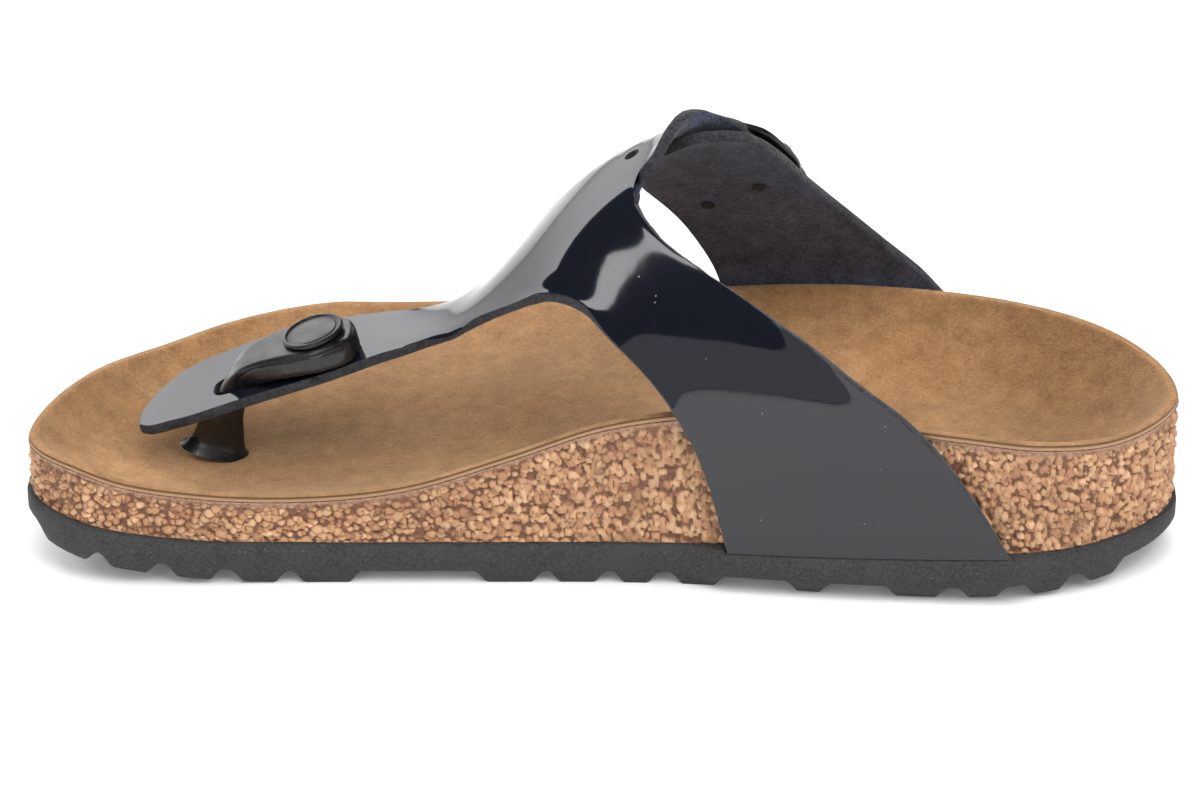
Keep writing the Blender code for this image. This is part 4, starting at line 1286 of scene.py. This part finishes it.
def addToePost():
    # a section carried up from the footbed, through the slot and back over the tab; it is oval below and
    # grows into the plate's own section above
    knots = np.arange(len(postRows["x"]), dtype=float)
    at = np.linspace(0, knots[-1], 105)
    row = {name: through(at, knots, postRows[name])[:, None] for name in postRows}
    turn = np.linspace(0, math.pi, len(plateHalf))
    halves = [np.stack([np.sin(turn), np.cos(turn)], axis=1), plateHalf]
    oval, plate = (np.concatenate([half, half[-2:0:-1] * (-1, 1)]) for half in halves)
    share = ease((row["x"] - toePlate["startX"]) / toePlate["length"])[..., None]
    ring = oval * (1 - share) + plate * share
    across, depth = ring[..., 0] * row["halfAcross"], ring[..., 1] * row["halfDepth"]
    run = np.gradient(np.concatenate([row["x"], row["z"]], axis=1), axis=0)
    run /= np.linalg.norm(run, axis=1)[:, None]
    x, z = row["x"] - run[:, 1:] * depth, row["z"] + run[:, :1] * depth
    rings = np.stack([x, toeSlot["y"] + across, z], axis=-1)
    addLoft("toePost", rings, [plastic], "toe_post", 35)
    axis = np.array([-math.sin(toeButton["slope"]), 0.0, math.cos(toeButton["slope"])])
    profile = np.stack([buttonRows["radius"], buttonRows["height"]], axis=1)
    rings = turnedRings(profile, np.array([toeButton["x"], toeSlot["y"], toeButton["z"]]), axis, 64)
    addLoft("toeButton", rings, [plastic], "toe_button", 50)


addToePost()
print("toe post made")

# Outsole

lugRows = table(
    "centre length bare",
    (-121.0, 9.0, 0.0),
    (-106.5, 7.5, 0.0),
    (-92.0, 7.0, 0.0),
    (-77.3, 7.0, 0.0),
    (-62.0, 10.0, 0.0),
    (-46.0, 6.0, 0.16),
    (-34.0, 5.0, 0.16),
    (-20.8, 10.0, 0.0),
    (-5.4, 7.5, 0.0),
    (7.8, 5.0, 0.0),
    (22.0, 7.0, 0.0),
    (34.5, 5.0, 0.14),
    (46.8, 5.0, 0.0),
    (58.5, 5.0, 0.14),
    (71.0, 9.0, 0.0),
    (86.0, 6.0, 0.0),
    (100.5, 5.5, 0.0),
    (113.0, 5.0, 0.0),
)
tread = dict(
    lip=1.0,
    outset=0.1,
    band=4.6,
    depth=2.9,
    flank=2.7,
    wave=3.0,
    waveLength=30.0,
    pocket=0.2,
    margin=1.0,
    swellLength=10.0,
)
strapFeet = {
    medial: (wingRows["front"][0], wingRows["back"][0]),
    lateral: (buckleStrapRows["front"][-1], buckleStrapRows["rear"][-1]),
}


def lugShare(x, across):
    # 1 on a lug's foot and 0 between lugs, with soft corners; some lugs stop short of the inner edge
    share = np.zeros(np.broadcast(x, across).shape)
    for centre, length, bare in zip(lugRows["centre"], lugRows["length"], lugRows["bare"]):
        lug = np.clip(1 - (np.abs(x - centre) - length / 2) / tread["flank"], 0, 1)
        share = np.maximum(share, lug * ease((across - bare) / 0.02 + 1))
    return 0.7 * share + 0.3 * ease(share)


def addOutsole():
    # a section carried along the sole: tread from the inner to the outer edge, up the side, back over the
    # top. Under a strap's foot the side stands out and its upper part is cut back.
    half = foot["length"] / 2 + tread["lip"]
    ends = half * np.cos(np.radians(np.linspace(2.0, 24.0, 23)))
    x = np.unique(np.round(np.concatenate([np.arange(-half + 10, half - 10, 0.62), ends, -ends]), 2))
    feet = [end + shift for pair in strapFeet.values() for end, shift in ((pair[0], -1.05), (pair[0], -0.95))]
    feet += [end + shift for pair in strapFeet.values() for end, shift in ((pair[1], 0.95), (pair[1], 1.05))]
    x = np.unique(np.concatenate([x, feet]))[:, None]
    top, ground = soleAt(x, "top") - 0.05, np.maximum(soleAt(x, "tread"), 0.0)
    taper = ease((foot["length"] / 2 - np.abs(x)) / 25)
    low, high = (outsetEdge(x, side, tread["outset"]) for side in (medial, lateral))
    middle = (low + high) / 2
    low, high = np.minimum(low, middle), np.maximum(high, middle)
    across = (1 - np.cos(np.linspace(0, math.pi, 57))) / 2
    y = low + (high - low) * across
    wave = tread["wave"] * taper * np.sin(2 * math.pi * y / tread["waveLength"]) * (1 - (2 * across - 1) ** 4)
    tops = ground + tread["depth"] * (1 - lugShare(x, across))
    rings = [np.stack([x + wave, y, tops], axis=-1)]
    for side in (lateral, medial):
        start, stop = strapFeet[side]
        near = tread["swellLength"]
        swell = strap["wall"] * ease((x - start + near) / near) * ease((stop + near - x) / near)
        out = outsetEdge(x, side, tread["lip"]) + side * swell
        inPocket = (x > start - tread["margin"]) & (x < stop + tread["margin"])
        ledge = np.where(inPocket, footZ(x) - 0.2, top - 0.35)
        back = np.where(inPocket, edgeY(x, side) + side * tread["pocket"], out - side * 0.3)
        edge = slice(-1, None) if side == lateral else slice(0, 1)
        inside, base, band = y[:, edge], tops[:, edge], ground + tread["band"]
        rows = [
            (inside + (out - inside) * 0.45, base + (band - base) * 0.28),
            (inside + (out - inside) * 0.85, base + (band - base) * 0.72),
            (out, band),
            (out + side * 0.12, (band + ledge) / 2),
            (out, ledge - 0.25),
            (out - side * 0.3, ledge),
            (back, ledge),
            (back, top - 0.05),
            (back - side * 0.6, top),
        ]
        column = [np.concatenate([x, place, height], axis=1) for place, height in rows]
        rings.append(np.stack(column if side == lateral else column[::-1], axis=1))
    addLoft("foamSole", np.concatenate(rings, axis=1), [foam], "outsole", 50)


addOutsole()
print("outsole made")

# Studio: a pale floor, soft panels and the camera

studio = dict(
    floorSize=6.0,
    floorColour=(0.93, 0.93, 0.93),
    floorGlow=0.1,
    roomLight=0.05,
    target=(-0.00075, -0.0283, 0.040),
    lit=(0.0, 0.0, 0.05),  # where the panels point
    azimuth=2.0,
    elevation=30.0,
    distance=1.1,
    focalShare=4895 / 1200,  # focal length as a share of the picture's width
    sensor=36.0,
)
panels = {
    # size across and up in metres, power in watts; fade is the strength at the lower and upper edge
    "backPanel": dict(place=(-1.27, 1.41, 0.85), size=(2.8, 1.9), power=43.0, fade=(0.25, 1.8)),
    "frontCard": dict(place=(0.0, -2.5, 0.70), size=(5.0, 1.4), power=13.0, inDiffuse=False),
    "strip": dict(
        place=(-0.64, -1.53, 1.5),
        size=(2.18, 0.35),
        power=14.0,
        turn=math.radians(75),
        inDiffuse=False,
    ),
    "topFill": dict(place=(0.2, -0.2, 2.1), size=(2.2, 2.2), power=50.0, inGloss=False),
    "heelFill": dict(place=(1.3, -0.9, 1.5), size=(1.6, 1.6), power=24.0, inGloss=False),
    "toeFill": dict(place=(-1.0, -1.3, 1.2), size=(1.4, 1.4), power=9.0, inGloss=False),
}


def lookAlong(obj, place, target):
    # at a place, turned so that its own -Z points to the target
    obj.location = place
    obj.rotation_euler = (Vector(target) - Vector(place)).to_track_quat("-Z", "Y").to_euler()


def fadeLight(light, low, high):
    # the panel's strength grows evenly from its lower to its upper edge
    light.use_nodes = True
    tree = light.node_tree
    kinds = ("NewGeometry", "SeparateXYZ", "MapRange")
    surface, split, span = (tree.nodes.new("ShaderNode" + kind) for kind in kinds)
    span.inputs["To Min"].default_value = low
    span.inputs["To Max"].default_value = high
    tree.links.new(surface.outputs["Parametric"], split.inputs[0])
    tree.links.new(split.outputs["Y"], span.inputs["Value"])
    tree.links.new(span.outputs["Result"], tree.nodes["Emission"].inputs["Strength"])


def addStudio():
    # a square floor, the panels turned to the sandal, and a weak even light from all round
    half = studio["floorSize"] / 2
    corners = [(-half, -half, 0), (half, -half, 0), (half, half, 0), (-half, half, 0)]
    mesh = bpy.data.meshes.new("floor")
    mesh.from_pydata(corners, [], [(0, 1, 2, 3)])
    look = {
        "Base Color": (*studio["floorColour"], 1.0),
        "Roughness": 0.9,
        "Specular IOR Level": 0.1,
        "Emission Color": (1.0, 1.0, 1.0, 1.0),
        "Emission Strength": studio["floorGlow"],
    }
    mesh.materials.append(newMaterial("paleFloor", look)[0])
    floor = bpy.data.objects.new("floor", mesh)
    bpy.context.scene.collection.objects.link(floor)
    for name, panel in panels.items():
        light = bpy.data.lights.new(name, "AREA")
        light.shape = "RECTANGLE"
        light.size, light.size_y = panel["size"]
        light.energy = panel["power"]
        if "fade" in panel:
            fadeLight(light, *panel["fade"])
        lamp = bpy.data.objects.new(name, light)
        bpy.context.scene.collection.objects.link(lamp)
        lamp.visible_camera = False
        lamp.visible_glossy = panel.get("inGloss", True)
        lamp.visible_diffuse = panel.get("inDiffuse", True)
        lookAlong(lamp, panel["place"], studio["lit"])
        if "turn" in panel:
            lamp.rotation_euler = (0.0, 0.0, panel["turn"])
    world = bpy.data.worlds.new("paleRoom")
    world.use_nodes = True
    background = world.node_tree.nodes["Background"]
    background.inputs["Color"].default_value = (1.0, 1.0, 1.0, 1.0)
    background.inputs["Strength"].default_value = studio["roomLight"]
    bpy.context.scene.world = world
    bpy.context.scene.view_settings.view_transform = "Standard"


def addCamera():
    # behind the target by the distance, at the photograph's azimuth and elevation
    data = bpy.data.cameras.new("camera")
    data.sensor_width = studio["sensor"]
    data.lens = studio["focalShare"] * studio["sensor"]
    camera = bpy.data.objects.new("camera", data)
    bpy.context.scene.collection.objects.link(camera)
    a, e = math.radians(studio["azimuth"]), math.radians(studio["elevation"])
    back = np.array([math.sin(a) * math.cos(e), -math.cos(a) * math.cos(e), math.sin(e)])
    lookAlong(camera, tuple(np.array(studio["target"]) + back * studio["distance"]), studio["target"])
    data.clip_start = 0.01
    bpy.context.scene.camera = camera


addStudio()
addCamera()
print("studio ready")
